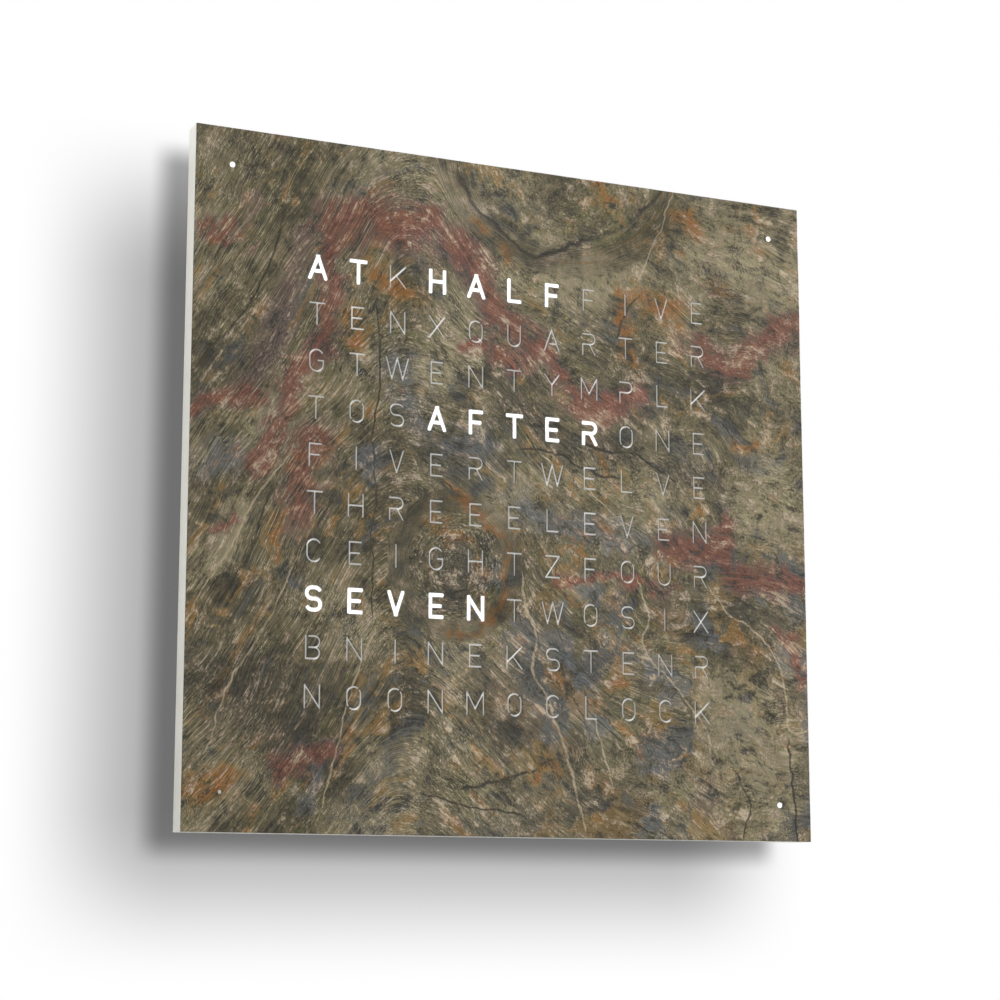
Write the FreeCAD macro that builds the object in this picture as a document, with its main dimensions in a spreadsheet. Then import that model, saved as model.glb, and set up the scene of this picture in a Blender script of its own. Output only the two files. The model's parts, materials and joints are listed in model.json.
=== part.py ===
import FreeCAD, Part
import math
import os
import Sketcher

# Square word clock for a wall. The origin is the centre of the back, which lies on the wall.
# +X is to the right as a reader sees the clock, +Y goes into the wall and +Z is up.

doc = FreeCAD.newDocument("word_clock")

# Driving sizes, all in millimetres
DRIVING_SIZES = [
    # outline and layers, from the wall to the front
    ("face_side", 900),
    ("frame_depth", 25.7),
    ("cover_gap", 0.3),
    ("carrier_thickness", 3),
    ("stone_thickness", 2),
    # frame bars
    ("bar_width", 20),
    ("corner_round", 0.6),
    ("rebate_width", 6),
    ("rebate_depth", 1.2),
    ("ledge_width", 8),
    ("panel_thickness", 5),
    ("pilot_floor", 1),
    ("panel_clearance", 0.3),
    ("diffuser_thickness", 1),
    # letters
    ("column_pitch", 56.4),
    ("row_pitch", 61.95),
    ("cap_height", 31),
    ("cap_width", 21),
    ("narrow_width", 18.5),
    ("upright_width", 22.5),
    ("wide_width", 24),
    ("broad_width", 26),
    ("double_width", 33.5),
    ("stroke_width", 2.5),
    ("bridge_width", 2),
    ("dot_diameter", 5),
    ("dot_inset", 49),
    # light chambers
    ("chamber_wall", 2),
    ("baffle_flange", 9),
    ("flange_web", 3),
    ("tube_diameter", 20),
    ("tube_wall", 2),
    # circuit boards
    ("board_thickness", 1.6),
    ("spacer_height", 3),
    ("spacer_diameter", 6),
    ("row_board_height", 22),
    ("row_board_tail", 18),
    ("row_screw_inset", 12.5),
    ("connector_inset", 5),
    ("connector_width", 7),
    ("connector_length", 6),
    ("connector_height", 4.5),
    ("led_side", 5),
    ("led_height", 1.6),
    ("minute_board_side", 34),
    # machine screws in the panel
    ("screw_diameter", 3),
    ("screw_clearance", 0.2),
    ("pilot_clearance", 0.05),
    ("screw_length", 8),
    ("screw_head_diameter", 5.6),
    ("screw_head_height", 1.8),
    ("head_clearance", 0.4),
    ("key_size", 2.5),
    ("key_depth", 1),
    ("panel_screw_spacing", 200),
    ("panel_screw_sink", 2.2),
    ("panel_screw_length", 10),
    # magnets and locating pins of the cover
    ("magnet_diameter", 10),
    ("magnet_thickness", 3),
    ("magnet_inset", 7),
    ("magnet_spacing", 210),
    ("glue_clearance", 0.05),
    ("strike_diameter", 12),
    ("strike_thickness", 1),
    ("pin_inset", 7),
    ("pin_diameter", 4),
    ("pin_reach", 6),
    ("pin_flange", 8),
    ("pin_flange_height", 1),
    ("pin_fit", 0.05),
    ("bush_diameter", 7),
    ("bush_length", 8),
    # hanging plates
    ("hanger_spacing", 600),
    ("hanger_drop", 68),
    ("hanger_width", 56),
    ("hanger_height", 30),
    ("hanger_thickness", 1.5),
    ("hanger_sink", 2.5),
    ("hanger_screw_spacing", 44),
    ("keyhole_entry", 10),
    ("keyhole_slot", 4.6),
    ("keyhole_rise", 9),
    ("hanger_head_height", 0.9),
    ("hanger_screw_length", 4),
    # control board below the letters
    ("control_width", 170),
    ("control_height", 70),
    ("control_x", -30),
    ("control_rise", 56),
    ("control_screw_inset", 6),
    ("chip_side", 10),
    ("chip_height", 1.2),
    ("crystal_length", 9),
    ("crystal_width", 3.6),
    ("crystal_height", 3.4),
    ("driver_length", 10),
    ("driver_width", 6),
    ("driver_height", 1.7),
    ("driver_pitch", 16),
    ("regulator_length", 12),
    ("regulator_width", 10),
    ("regulator_height", 4.4),
    ("capacitor_diameter", 8),
    ("capacitor_height", 9),
    ("capacitor_pitch", 11),
    ("receiver_width", 20),
    ("receiver_length", 14),
    ("receiver_height", 3),
    ("cell_diameter", 20),
    ("cell_thickness", 3.2),
    ("cell_clearance", 0.15),
    ("holder_wall", 1.6),
    ("holder_floor", 1.2),
    # time-signal antenna
    ("rod_diameter", 8),
    ("rod_length", 60),
    ("antenna_x", -250),
    ("antenna_rise", 50),
    ("coil_diameter", 11),
    ("coil_length", 26),
    ("coil_clearance", 0.1),
    ("clip_width", 6),
    ("clip_side", 13),
    ("clip_spacing", 44),
    # supply inlet in a cup at the back
    ("cup_width", 60),
    ("cup_height", 36),
    ("cup_depth", 14),
    ("cup_wall", 1.6),
    ("cup_x", 190),
    ("cup_rise", 50),
    ("cup_flange", 8),
    ("cup_flange_height", 1.2),
    ("cup_clearance", 0.3),
    ("jack_length", 14),
    ("jack_width", 11),
    ("jack_height", 9),
    ("jack_bore", 5.6),
    ("jack_bore_depth", 10),
    ("jack_pin_diameter", 2),
    # setting buttons in the right-hand bar
    ("button_diameter", 6),
    ("button_fit", 0.05),
    ("button_proud", 0.8),
    ("button_flange", 9),
    ("button_flange_height", 1.2),
    ("button_travel", 1.2),
    ("button_gap", 0.3),
    ("button_spacing", 20),
    ("button_z", -270),
    ("button_wall", 4),
    ("recess_length", 118),
    ("recess_height", 14),
    ("recess_middle", 12.85),
    ("switch_side", 4.5),
    ("switch_height", 3.5),
    ("plunger_diameter", 2.6),
    ("plunger_height", 0.9),
    ("button_board_length", 112),
    ("button_board_width", 13.2),
    ("button_screw_inset", 5),
    ("small_screw_diameter", 2),
    ("small_screw_bite", 2.4),
    ("small_spacer_diameter", 4.4),
    ("spring_diameter", 7.6),
    ("spring_wire", 0.4),
    ("spring_turns", 4),
    ("sensor_side", 3),
    ("sensor_height", 1),
    ("window_diameter", 5),
    # leads inside the housing
    ("lead_diameter", 2.4),
    ("lead_clearance", 0.4),
]

# What the face says: words that give the time to a quarter of an hour or better, with filling letters
FACE_ROWS = [
    "ATKHALFFIVE",
    "TENXQUARTER",
    "GTWENTYMPLK",
    "TOSAFTERONE",
    "FIVERTWELVE",
    "THREEELEVEN",
    "CEIGHTZFOUR",
    "SEVENTWOSIX",
    "BNINEKSTENR",
    "NOONMOCLOCK",
]
COLUMNS = len(FACE_ROWS[0])
ROWS = len(FACE_ROWS)

sheet = doc.addObject("Spreadsheet::Sheet", "Sizes")
for row, (alias, number) in enumerate(DRIVING_SIZES, start=1):
    sheet.set("A%d" % row, alias)
    sheet.set("B%d" % row, str(number))
    sheet.setAlias("B%d" % row, alias)
doc.recompute()

sub_parts = []


# Number that an expression on the driving sizes gives
def value(expression):
    return float(sheet.evalExpression(expression))


def size(alias):
    return value("Sizes." + alias)


# Lengths that follow from the driving sizes; depths are counted forward from the wall
inner_side = "(Sizes.face_side - 2 * Sizes.bar_width)"
inner_half = "(Sizes.face_side / 2 - Sizes.bar_width)"
board_back = "(Sizes.panel_thickness + Sizes.spacer_height)"
board_front = "(Sizes.panel_thickness + Sizes.spacer_height + Sizes.board_thickness)"
baffle_front = "(Sizes.frame_depth - Sizes.rebate_depth)"
baffle_depth = "(" + baffle_front + " - " + board_front + ")"
carrier_back = "(Sizes.frame_depth + Sizes.cover_gap)"
stone_back = "(Sizes.frame_depth + Sizes.cover_gap + Sizes.carrier_thickness)"
dot_place = "(Sizes.face_side / 2 - Sizes.dot_inset)"
baffle_width = "(%d * Sizes.column_pitch + 2 * Sizes.baffle_flange)" % COLUMNS
baffle_height = "(%d * Sizes.row_pitch + 2 * Sizes.baffle_flange)" % ROWS
row_board_half = "(" + baffle_width + " / 2 + Sizes.row_board_tail)"
pilot_diameter = "(Sizes.screw_diameter + 2 * Sizes.pilot_clearance)"
through_diameter = "(Sizes.screw_diameter + 2 * Sizes.screw_clearance)"
magnet_place = "(Sizes.face_side / 2 - Sizes.magnet_inset)"
pin_place = "(Sizes.face_side / 2 - Sizes.pin_inset)"
panel_screw_place = "(" + inner_half + " + Sizes.ledge_width / 2)"
control_z = "(Sizes.control_rise - " + inner_half + ")"
antenna_z = "(Sizes.antenna_rise - " + inner_half + ")"
cup_z = "(Sizes.cup_rise - " + inner_half + ")"
hanger_z = "(" + inner_half + " - Sizes.hanger_drop)"


def row_place(row):
    # height of the middle of a row of letters, the first row on top
    return "(%s * Sizes.row_pitch)" % ((ROWS - 1) / 2 - row)


def column_place(column):
    return "(%s * Sizes.column_pitch)" % (column - (COLUMNS - 1) / 2)


# Short ways to the bodies, sketches and features
def new_body(label, x="0", depth="0", z="0"):
    body = doc.addObject("PartDesign::Body", label)
    body.Label = label
    body.setExpression(".Placement.Base.x", x)
    body.setExpression(".Placement.Base.y", "-(" + depth + ")")
    body.setExpression(".Placement.Base.z", z)
    sub_parts.append(body)
    return body


# The front plane looks towards the reader, the side plane towards +X
def new_sketch(body, name, lift=None, plane="XZ_Plane"):
    sketch = body.newObject("Sketcher::SketchObject", name)
    origin_plane = [item for item in body.Origin.OriginFeatures if item.Role == plane][0]
    sketch.AttachmentSupport = (origin_plane, "")
    sketch.MapMode = "FlatFace"
    if lift:
        sketch.setExpression(".AttachmentOffset.Base.z", lift)
    return sketch


# Constraints of an outline, each with the expression that drives it or with none
def add_constraints(sketch, pairs):
    first = sketch.ConstraintCount
    sketch.addConstraint([constraint for constraint, expression in pairs])
    for index, (constraint, expression) in enumerate(pairs, start=first):
        if expression:
            sketch.setExpression("Constraints[%d]" % index, expression)


# A point that lies on an axis is held on that axis, any other by its distance
def held_place(geometry, point, across, up):
    pairs = []
    for kind, axis, expression in (("DistanceX", -2, across), ("DistanceY", -1, up)):
        number = value(expression)
        if abs(number) < 1e-9:
            pairs.append((Sketcher.Constraint("PointOnObject", geometry, point, axis), None))
        else:
            pairs.append((Sketcher.Constraint(kind, -1, 1, geometry, point, number), expression))
    return pairs


# Rectangles of one size; the first is dimensioned and the others equal it
def add_rectangles(sketch, width, height, places):
    pairs = []
    model = None
    for x, z in places:
        left = value(x) - value(width) / 2
        low = value(z) - value(height) / 2
        right = left + value(width)
        high = low + value(height)
        corners = [(left, low), (right, low), (right, high), (left, high)]
        points = [FreeCAD.Vector(across, up, 0) for across, up in corners]
        lines = [Part.LineSegment(points[i], points[(i + 1) % 4]) for i in range(4)]
        first = sketch.addGeometry(lines, False)[0]
        for i in range(4):
            pairs.append((Sketcher.Constraint("Coincident", first + i, 2, first + (i + 1) % 4, 1), None))
            direction = "Horizontal" if i % 2 == 0 else "Vertical"
            pairs.append((Sketcher.Constraint(direction, first + i), None))
        if model is None:
            model = first
            across = Sketcher.Constraint("DistanceX", first, 1, first, 2, value(width))
            up = Sketcher.Constraint("DistanceY", first + 1, 1, first + 1, 2, value(height))
            pairs += [(across, width), (up, height)]
        else:
            pairs.append((Sketcher.Constraint("Equal", model, first), None))
            pairs.append((Sketcher.Constraint("Equal", model + 1, first + 1), None))
        pairs += held_place(first, 1, "%s - %s / 2" % (x, width), "%s - %s / 2" % (z, height))
    add_constraints(sketch, pairs)


def add_rectangle(sketch, width, height, x="0", z="0"):
    add_rectangles(sketch, width, height, [(x, z)])


# Circles of one diameter; the first is dimensioned and the others equal it
def add_circles(sketch, diameter, places):
    pairs = []
    model = None
    for x, z in places:
        centre = FreeCAD.Vector(value(x), value(z), 0)
        circle = Part.Circle(centre, FreeCAD.Vector(0, 0, 1), value(diameter) / 2)
        index = sketch.addGeometry(circle, False)
        if model is None:
            model = index
            pairs.append((Sketcher.Constraint("Diameter", index, value(diameter)), diameter))
        else:
            pairs.append((Sketcher.Constraint("Equal", model, index), None))
        pairs += held_place(index, 3, x, z)
    add_constraints(sketch, pairs)


def add_circle(sketch, diameter, x="0", z="0"):
    add_circles(sketch, diameter, [(x, z)])


def add_pad(body, sketch, length, backwards=False):
    pad = body.newObject("PartDesign::Pad", sketch.Name + "_pad")
    pad.Profile = sketch
    pad.setExpression("Length", length)
    pad.Reversed = backwards
    return pad


# Without a depth the pocket goes right through
def add_pocket(body, sketch, depth=None, forwards=False):
    pocket = body.newObject("PartDesign::Pocket", sketch.Name + "_pocket")
    pocket.Profile = sketch
    if depth is None:
        pocket.Type = 1
        pocket.Midplane = True
    else:
        pocket.setExpression("Length", depth)
        pocket.Reversed = forwards
    return pocket


# Copies of a feature in a row or in a grid, counted to the right and up
def add_pattern(body, feature, sketch, steps):
    pattern = body.newObject("PartDesign::MultiTransform", body.Name + "_pattern")
    pattern.Originals = [feature]
    directions = []
    for axis, pitch, count in steps:
        line = body.newObject("PartDesign::LinearPattern", body.Name + "_line")
        line.Direction = (sketch, [axis])
        line.setExpression("Length", "%d * %s" % (count - 1, pitch))
        line.Occurrences = count
        directions.append(line)
    pattern.Transformations = directions
    body.Tip = pattern
    return pattern


def add_cylinder(name, radius, height, lift):
    cylinder = doc.addObject("Part::Cylinder", name)
    cylinder.setExpression("Radius", radius)
    cylinder.setExpression("Height", height)
    cylinder.setExpression(".Placement.Base.z", lift)
    return cylinder


# Pattern of one screw, its head upwards from z = 0, with a hexagon socket
def screw_pattern(name, diameter, length, head_diameter, head_height):
    shank = add_cylinder(name + "_shank", diameter + " / 2", length, "-" + length)
    head = add_cylinder(name + "_head", head_diameter + " / 2", head_height, "0")
    whole = doc.addObject("Part::Fuse", name + "_whole")
    whole.Base = shank
    whole.Tool = head
    key = doc.addObject("Part::Prism", name + "_key")
    key.Polygon = 6
    key.setExpression("Circumradius", head_diameter + " * Sizes.key_size / Sizes.screw_head_diameter / 2")
    key.setExpression("Height", "Sizes.key_depth * " + head_height + " / Sizes.screw_head_height")
    key.setExpression(".Placement.Base.z", head_height + " - Sizes.key_depth * " + head_height
                      + " / Sizes.screw_head_height")
    screw = doc.addObject("Part::Cut", name)
    screw.Base = whole
    screw.Tool = key
    return screw


# Sub-part whose shape comes from ready solids
def add_feature(label, shape, place=FreeCAD.Vector()):
    feature = doc.addObject("Part::Feature", label)
    feature.Label = label
    feature.Shape = shape
    feature.Placement = FreeCAD.Placement(place, FreeCAD.Rotation())
    sub_parts.append(feature)
    return feature


# Copies of one pattern, its +Z turned to face a direction
def add_copies(label, pattern, places, facing):
    turn = FreeCAD.Rotation(FreeCAD.Vector(0, 0, 1), facing)
    copies = []
    for place in places:
        copy = pattern.Shape.copy()
        copy.Placement = FreeCAD.Placement(place, turn).multiply(copy.Placement)
        copies.append(copy)
    return add_feature(label, Part.makeCompound(copies))


to_reader = FreeCAD.Vector(0, -1, 0)
to_wall = FreeCAD.Vector(0, 1, 0)
to_left = FreeCAD.Vector(-1, 0, 0)


# Letters: strokes of one width on centre lines, in a cap of the given outer size.
# Closed counters stay joined to the plate by small bridges.
def point(x, z):
    return FreeCAD.Vector(x, 0, z)


def outline_face(points):
    return Part.Face(Part.makePolygon(points + [points[0]]))


def stroke(start, end, start_over=0.0, end_over=0.0):
    half = size("stroke_width") / 2
    along = (point(*end) - point(*start)).normalize()
    side = FreeCAD.Vector(-along.z, 0, along.x) * half
    first = point(*start) - along * start_over
    last = point(*end) + along * end_over
    return outline_face([first - side, last - side, last + side, first + side])


def bow(centre, radius, start_angle, end_angle):
    half = size("stroke_width") / 2
    middle = (start_angle + end_angle) / 2

    def at(reach, angle):
        turn = math.radians(angle)
        return point(centre[0] + reach * math.cos(turn), centre[1] + reach * math.sin(turn))

    outer = radius + half
    inner = radius - half
    edges = [
        Part.Arc(at(outer, start_angle), at(outer, middle), at(outer, end_angle)).toShape(),
        Part.LineSegment(at(outer, end_angle), at(inner, end_angle)).toShape(),
        Part.Arc(at(inner, end_angle), at(inner, middle), at(inner, start_angle)).toShape(),
        Part.LineSegment(at(inner, start_angle), at(outer, start_angle)).toShape(),
    ]
    return Part.Face(Part.Wire(edges))


def cap_block(width):
    half = width / 2
    tall = size("cap_height") / 2
    return outline_face([point(-half, -tall), point(half, -tall), point(half, tall), point(-half, tall)])


# Each letter gives its outer width and its strokes
def letter_strokes(letter):
    over = size("stroke_width") / 2
    bridge = size("bridge_width")
    width = size("cap_width")
    if letter in "EFL":
        width = size("narrow_width")
    elif letter in "HNTZ":
        width = size("upright_width")
    elif letter in "AKXY":
        width = size("wide_width")
    elif letter == "M":
        width = size("broad_width")
    elif letter == "W":
        width = size("double_width")
    a = width / 2 - over
    b = size("cap_height") / 2 - over
    bend = b / 2
    left_stem = stroke((-a, -b), (-a, b), over, over)
    right_stem = stroke((a, -b), (a, b), over, over)
    top_bar = stroke((-a, b), (a, b), over, over)
    low_bar = stroke((-a, -b), (a, -b), over, over)
    gap = math.degrees(bridge / 2 / a)
    if letter == "A":
        foot = -0.36
        right_x = a * (1 - foot) / 2
        return width, [
            stroke((-a, -b), (0, b), 2 * over, 2 * over),
            stroke((a, -b), (0, b), 2 * over, 2 * over),
            stroke((-right_x + over + bridge, foot * b), (right_x, foot * b)),
        ]
    if letter == "B":
        middle = a - bend
        return width, [
            left_stem,
            stroke((-a + over + bridge, b), (middle, b)),
            bow((middle, bend), bend, -90, 90),
            stroke((-a + over + bridge, 0), (middle, 0)),
            bow((middle, -bend), bend, -90, 90),
            stroke((-a, -b), (middle, -b), over),
        ]
    if letter == "C":
        return width, [
            bow((0, b - a), a, 28, 180),
            stroke((-a, a - b), (-a, b - a)),
            bow((0, a - b), a, 180, 332),
        ]
    if letter == "E":
        return width, [left_stem, top_bar, low_bar, stroke((-a, 0), (a - over, 0))]
    if letter == "F":
        return width, [left_stem, top_bar, stroke((-a, 0), (a - over, 0))]
    if letter == "G":
        return width, [
            bow((0, b - a), a, 28, 180),
            stroke((-a, a - b), (-a, b - a)),
            bow((0, a - b), a, 180, 360),
            stroke((a, a - b), (a, 0), 0, over),
            stroke((0.1 * a, 0), (a, 0), 0, over),
        ]
    if letter == "H":
        return width, [left_stem, right_stem, stroke((-a, 0), (a, 0))]
    if letter == "I":
        return width, [stroke((0, -b), (0, b), over, over)]
    if letter == "K":
        crossing = (-0.24 * a, 0.1 * b)
        return width, [
            left_stem,
            stroke((-a, -0.45 * b), (a, b), 0, 2 * over),
            stroke(crossing, (a, -b), 0, 2 * over),
        ]
    if letter == "L":
        return width, [left_stem, low_bar]
    if letter == "M":
        return width, [
            left_stem,
            right_stem,
            stroke((-a, b), (0, -0.5 * b), over, over),
            stroke((a, b), (0, -0.5 * b), over, over),
        ]
    if letter == "N":
        return width, [left_stem, right_stem, stroke((-a, b), (a, -b), over, over)]
    if letter in "OQ":
        strokes = [
            bow((0, b - a), a, 45 + gap, 180),
            stroke((-a, a - b), (-a, b - a)),
            bow((0, a - b), a, 180, 225 - gap),
            bow((0, a - b), a, 225 + gap, 360),
            stroke((a, a - b), (a, b - a)),
            bow((0, b - a), a, 0, 45 - gap),
        ]
        if letter == "Q":
            strokes.append(stroke((0.35 * a, -0.6 * b), (a, -b)))
        return width, strokes
    if letter in "PR":
        middle = a - bend
        strokes = [
            stroke((-a, b), (middle, b), over),
            bow((middle, bend), bend, -90, 90),
            stroke((-a, 0), (middle, 0), over),
            stroke((-a, -b), (-a, 0), over, over),
        ]
        if letter == "R":
            strokes.append(stroke((0.1 * a, 0), (a, -b), 0, 2 * over))
        return width, strokes
    if letter == "S":
        middle = a - bend
        return width, [
            bow((middle, b - bend), bend, 30, 90),
            stroke((-middle, b), (middle, b)),
            bow((-middle, bend), bend, 90, 270),
            stroke((-middle, 0), (middle, 0)),
            bow((middle, -bend), bend, -90, 90),
            stroke((-middle, -b), (middle, -b)),
            bow((-middle, bend - b), bend, 210, 270),
        ]
    if letter == "T":
        return width, [top_bar, stroke((0, -b), (0, b), over)]
    if letter == "U":
        return width, [
            stroke((-a, a - b), (-a, b), 0, over),
            bow((0, a - b), a, 180, 360),
            stroke((a, a - b), (a, b), 0, over),
        ]
    if letter == "V":
        return width, [
            stroke((-a, b), (0, -b), 2 * over, 2 * over),
            stroke((a, b), (0, -b), 2 * over, 2 * over),
        ]
    if letter == "W":
        return width, [
            stroke((-a, b), (-a / 2, -b), 2 * over, 2 * over),
            stroke((-a / 2, -b), (0, b), 2 * over, 2 * over),
            stroke((0, b), (a / 2, -b), 2 * over, 2 * over),
            stroke((a / 2, -b), (a, b), 2 * over, 2 * over),
        ]
    if letter == "X":
        return width, [
            stroke((-a, -b), (a, b), 2 * over, 2 * over),
            stroke((-a, b), (a, -b), 2 * over, 2 * over),
        ]
    if letter == "Y":
        return width, [
            stroke((-a, b), (0, 0), 2 * over, over / 2),
            stroke((a, b), (0, 0), 2 * over, over / 2),
            stroke((0, -b), (0, 0), over, over / 2),
        ]
    if letter == "Z":
        return width, [top_bar, low_bar, stroke((-a, -b), (a, b), over, over)]
    raise ValueError("no strokes for letter " + letter)


# Strokes sorted into groups, each of strokes that meet
def stroke_groups(strokes):
    groups = []
    for piece in strokes:
        meeting = []
        apart = []
        for group in groups:
            near = any(other.distToShape(piece)[0] < 0.001 for other in group)
            (meeting if near else apart).append(group)
        groups = apart + [sum(meeting, []) + [piece]]
    return groups


# Wires that bound the cut-outs of one letter; slanted strokes overrun the cap and are cut off at it
def letter_wires(letter):
    width, strokes = letter_strokes(letter)
    wires = []
    for group in stroke_groups(strokes):
        cut_out = group[0].multiFuse(group[1:]) if len(group) > 1 else group[0]
        if letter in "AKMNRVWXYZ":
            cut_out = cut_out.common(cap_block(width))
        wires += [face.OuterWire for face in cut_out.removeSplitter().Faces]
    return wires


# Stone front: one plate with every letter and the four corner dots cut through
def build_stone_front():
    half = size("face_side") / 2
    wires = [Part.makePolygon([
        point(-half, -half),
        point(half, -half),
        point(half, half),
        point(-half, half),
        point(-half, -half),
    ])]
    alphabet = {letter: letter_wires(letter) for letter in sorted(set("".join(FACE_ROWS)))}
    for row, text in enumerate(FACE_ROWS):
        for column, letter in enumerate(text):
            shift = point(value(column_place(column)), value(row_place(row)))
            for wire in alphabet[letter]:
                moved = wire.copy()
                moved.translate(shift)
                wires.append(moved)
    dot = value(dot_place)
    for x in (-dot, dot):
        for z in (-dot, dot):
            circle = Part.Circle(point(x, z), FreeCAD.Vector(0, 1, 0), size("dot_diameter") / 2)
            wires.append(Part.Wire([circle.toShape()]))
    plate = Part.makeFace(wires, "Part::FaceMakerBullseye")
    solid = plate.extrude(to_reader * size("stone_thickness"))
    add_feature("stone_front", solid, to_reader * value(stone_back))


# Places of the fasteners, magnets and pins, as expressions
corner_signs = [(-1, -1), (1, -1), (1, 1), (-1, 1)]
magnet_steps = (-1, 0, 1)
panel_steps = (-1.5, -0.5, 0.5, 1.5)
post_steps = (-4, -2, 0, 2, 4)


def around(edge, steps, spacing):
    places = []
    for sign in (-1, 1):
        for step in steps:
            along = "(%s * %s)" % (step, spacing)
            places.append((along, "(%d * %s)" % (sign, edge)))
            places.append(("(%d * %s)" % (sign, edge), along))
    return places


magnet_places = around(magnet_place, magnet_steps, "Sizes.magnet_spacing")
panel_screw_places = around(panel_screw_place, panel_steps, "Sizes.panel_screw_spacing")
pin_places = [("(%d * %s)" % (sx, pin_place), "(%d * %s)" % (sz, pin_place)) for sx, sz in corner_signs]
dot_places = [("(%d * %s)" % (sx, dot_place), "(%d * %s)" % (sz, dot_place)) for sx, sz in corner_signs]

post_places = []
for sign in (-1, 1):
    for step in post_steps:
        side_x = "(%d * (%s / 2 - Sizes.baffle_flange / 2))" % (sign, baffle_width)
        side_z = "(%d * (%s / 2 - Sizes.baffle_flange / 2))" % (sign, baffle_height)
        post_places.append((side_x, "(%s * Sizes.row_pitch)" % step))
        post_places.append(("(%s * Sizes.column_pitch)" % step, side_z))

row_screw_x = "(" + row_board_half + " - Sizes.row_screw_inset)"
row_screw_places = []
for row in range(ROWS):
    for sign in (-1, 1):
        row_screw_places.append(("(%d * %s)" % (sign, row_screw_x), row_place(row)))
lowest_row_screws = row_screw_places[-2:]
up_the_rows = [("V_Axis", "Sizes.row_pitch", ROWS)]

minute_screw_offset = "(Sizes.minute_board_side / 2 - Sizes.spacer_diameter * 0.75)"
minute_screw_places = []
for (sx, sz), (x, z) in zip(corner_signs, dot_places):
    for way in (-1, 1):
        across = "(%s + %d * %s)" % (x, way * sx, minute_screw_offset)
        up = "(%s + %d * %s)" % (z, way * sz, minute_screw_offset)
        minute_screw_places.append((across, up))

control_screw_places = []
for sx, sz in corner_signs:
    across = "(Sizes.control_x + %d * (Sizes.control_width / 2 - Sizes.control_screw_inset))" % sx
    up = "(%s + %d * (Sizes.control_height / 2 - Sizes.control_screw_inset))" % (control_z, sz)
    control_screw_places.append((across, up))

board_screw_places = row_screw_places + minute_screw_places + control_screw_places

button_steps = (-1.5, -0.5, 0.5, 1.5)
button_screw_step = "(Sizes.button_board_length / 2 - Sizes.button_screw_inset)"
window_step = "(Sizes.button_spacing * 2.2)"
button_wall_inner = "(Sizes.face_side / 2 - Sizes.button_wall)"
flange_back = "(" + button_wall_inner + " - Sizes.button_gap - Sizes.button_flange_height)"
switch_base = "(" + flange_back + " - Sizes.button_travel - Sizes.button_gap" \
    + " - Sizes.plunger_height - Sizes.switch_height)"
button_board_back = "(" + switch_base + " - Sizes.board_thickness)"


# Opal sheet that carries the stone, with seats for the strike plates and pins in its back
def build_cover_carrier():
    body = new_body("cover_carrier", depth=carrier_back)
    sheet_sketch = new_sketch(body, "carrier_sheet")
    add_rectangle(sheet_sketch, "Sizes.face_side", "Sizes.face_side")
    add_pad(body, sheet_sketch, "Sizes.carrier_thickness")
    strike_sketch = new_sketch(body, "strike_seats")
    add_circles(strike_sketch, "(Sizes.strike_diameter + 2 * Sizes.glue_clearance)", magnet_places)
    add_pocket(body, strike_sketch, "Sizes.strike_thickness", forwards=True)
    pin_sketch = new_sketch(body, "pin_seats")
    add_circles(pin_sketch, "(Sizes.pin_flange + 2 * Sizes.glue_clearance)", pin_places)
    add_pocket(body, pin_sketch, "Sizes.pin_flange_height", forwards=True)


def build_strike_plates():
    body = new_body("strike_plates", depth=carrier_back)
    sketch = new_sketch(body, "strike_discs")
    add_circles(sketch, "Sizes.strike_diameter", magnet_places)
    add_pad(body, sketch, "Sizes.strike_thickness")


def build_locating_pins():
    body = new_body("locating_pins", depth=carrier_back)
    flange_sketch = new_sketch(body, "pin_flanges")
    shank_sketch = new_sketch(body, "pin_shanks")
    add_circles(flange_sketch, "Sizes.pin_flange", pin_places)
    add_circles(shank_sketch, "Sizes.pin_diameter", pin_places)
    add_pad(body, flange_sketch, "Sizes.pin_flange_height")
    add_pad(body, shank_sketch, "Sizes.pin_reach", backwards=True)


# Off-white frame: four bars in one piece, with a rebate in front and a ledge behind
def build_body_frame():
    body = new_body("body_frame")
    bars = new_sketch(body, "frame_bars")
    add_rectangle(bars, "Sizes.face_side", "Sizes.face_side")
    add_rectangle(bars, inner_side, inner_side)
    bars_pad = add_pad(body, bars, "Sizes.frame_depth")
    doc.recompute()
    half = size("face_side") / 2
    corner_edges = []
    for index, edge in enumerate(bars_pad.Shape.Edges, start=1):
        middle = edge.CenterOfMass
        if abs(abs(middle.x) - half) < 0.01 and abs(abs(middle.z) - half) < 0.01:
            corner_edges.append("Edge%d" % index)
    rounds = body.newObject("PartDesign::Fillet", "frame_corners")
    rounds.Base = (bars_pad, corner_edges)
    rounds.setExpression("Radius", "Sizes.corner_round")
    rebate = new_sketch(body, "front_rebate", "Sizes.frame_depth")
    rebate_side = "(%s + 2 * Sizes.rebate_width)" % inner_side
    add_rectangle(rebate, rebate_side, rebate_side)
    add_pocket(body, rebate, "Sizes.rebate_depth")
    ledge = new_sketch(body, "panel_ledge")
    ledge_side = "(%s + 2 * Sizes.ledge_width)" % inner_side
    add_rectangle(ledge, ledge_side, ledge_side)
    add_pocket(body, ledge, "Sizes.panel_thickness", forwards=True)
    magnets = new_sketch(body, "magnet_seats", "Sizes.frame_depth")
    add_circles(magnets, "(Sizes.magnet_diameter + 2 * Sizes.glue_clearance)", magnet_places)
    add_pocket(body, magnets, "Sizes.magnet_thickness")
    bushes = new_sketch(body, "bush_seats", "Sizes.frame_depth")
    add_circles(bushes, "(Sizes.bush_diameter + 2 * Sizes.glue_clearance)", pin_places)
    add_pocket(body, bushes, "Sizes.bush_length")
    pilots = new_sketch(body, "panel_pilots", "Sizes.panel_thickness")
    add_circles(pilots, pilot_diameter, panel_screw_places)
    add_pocket(body, pilots, "Sizes.panel_screw_length", forwards=True)
    build_button_recess(body)


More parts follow.
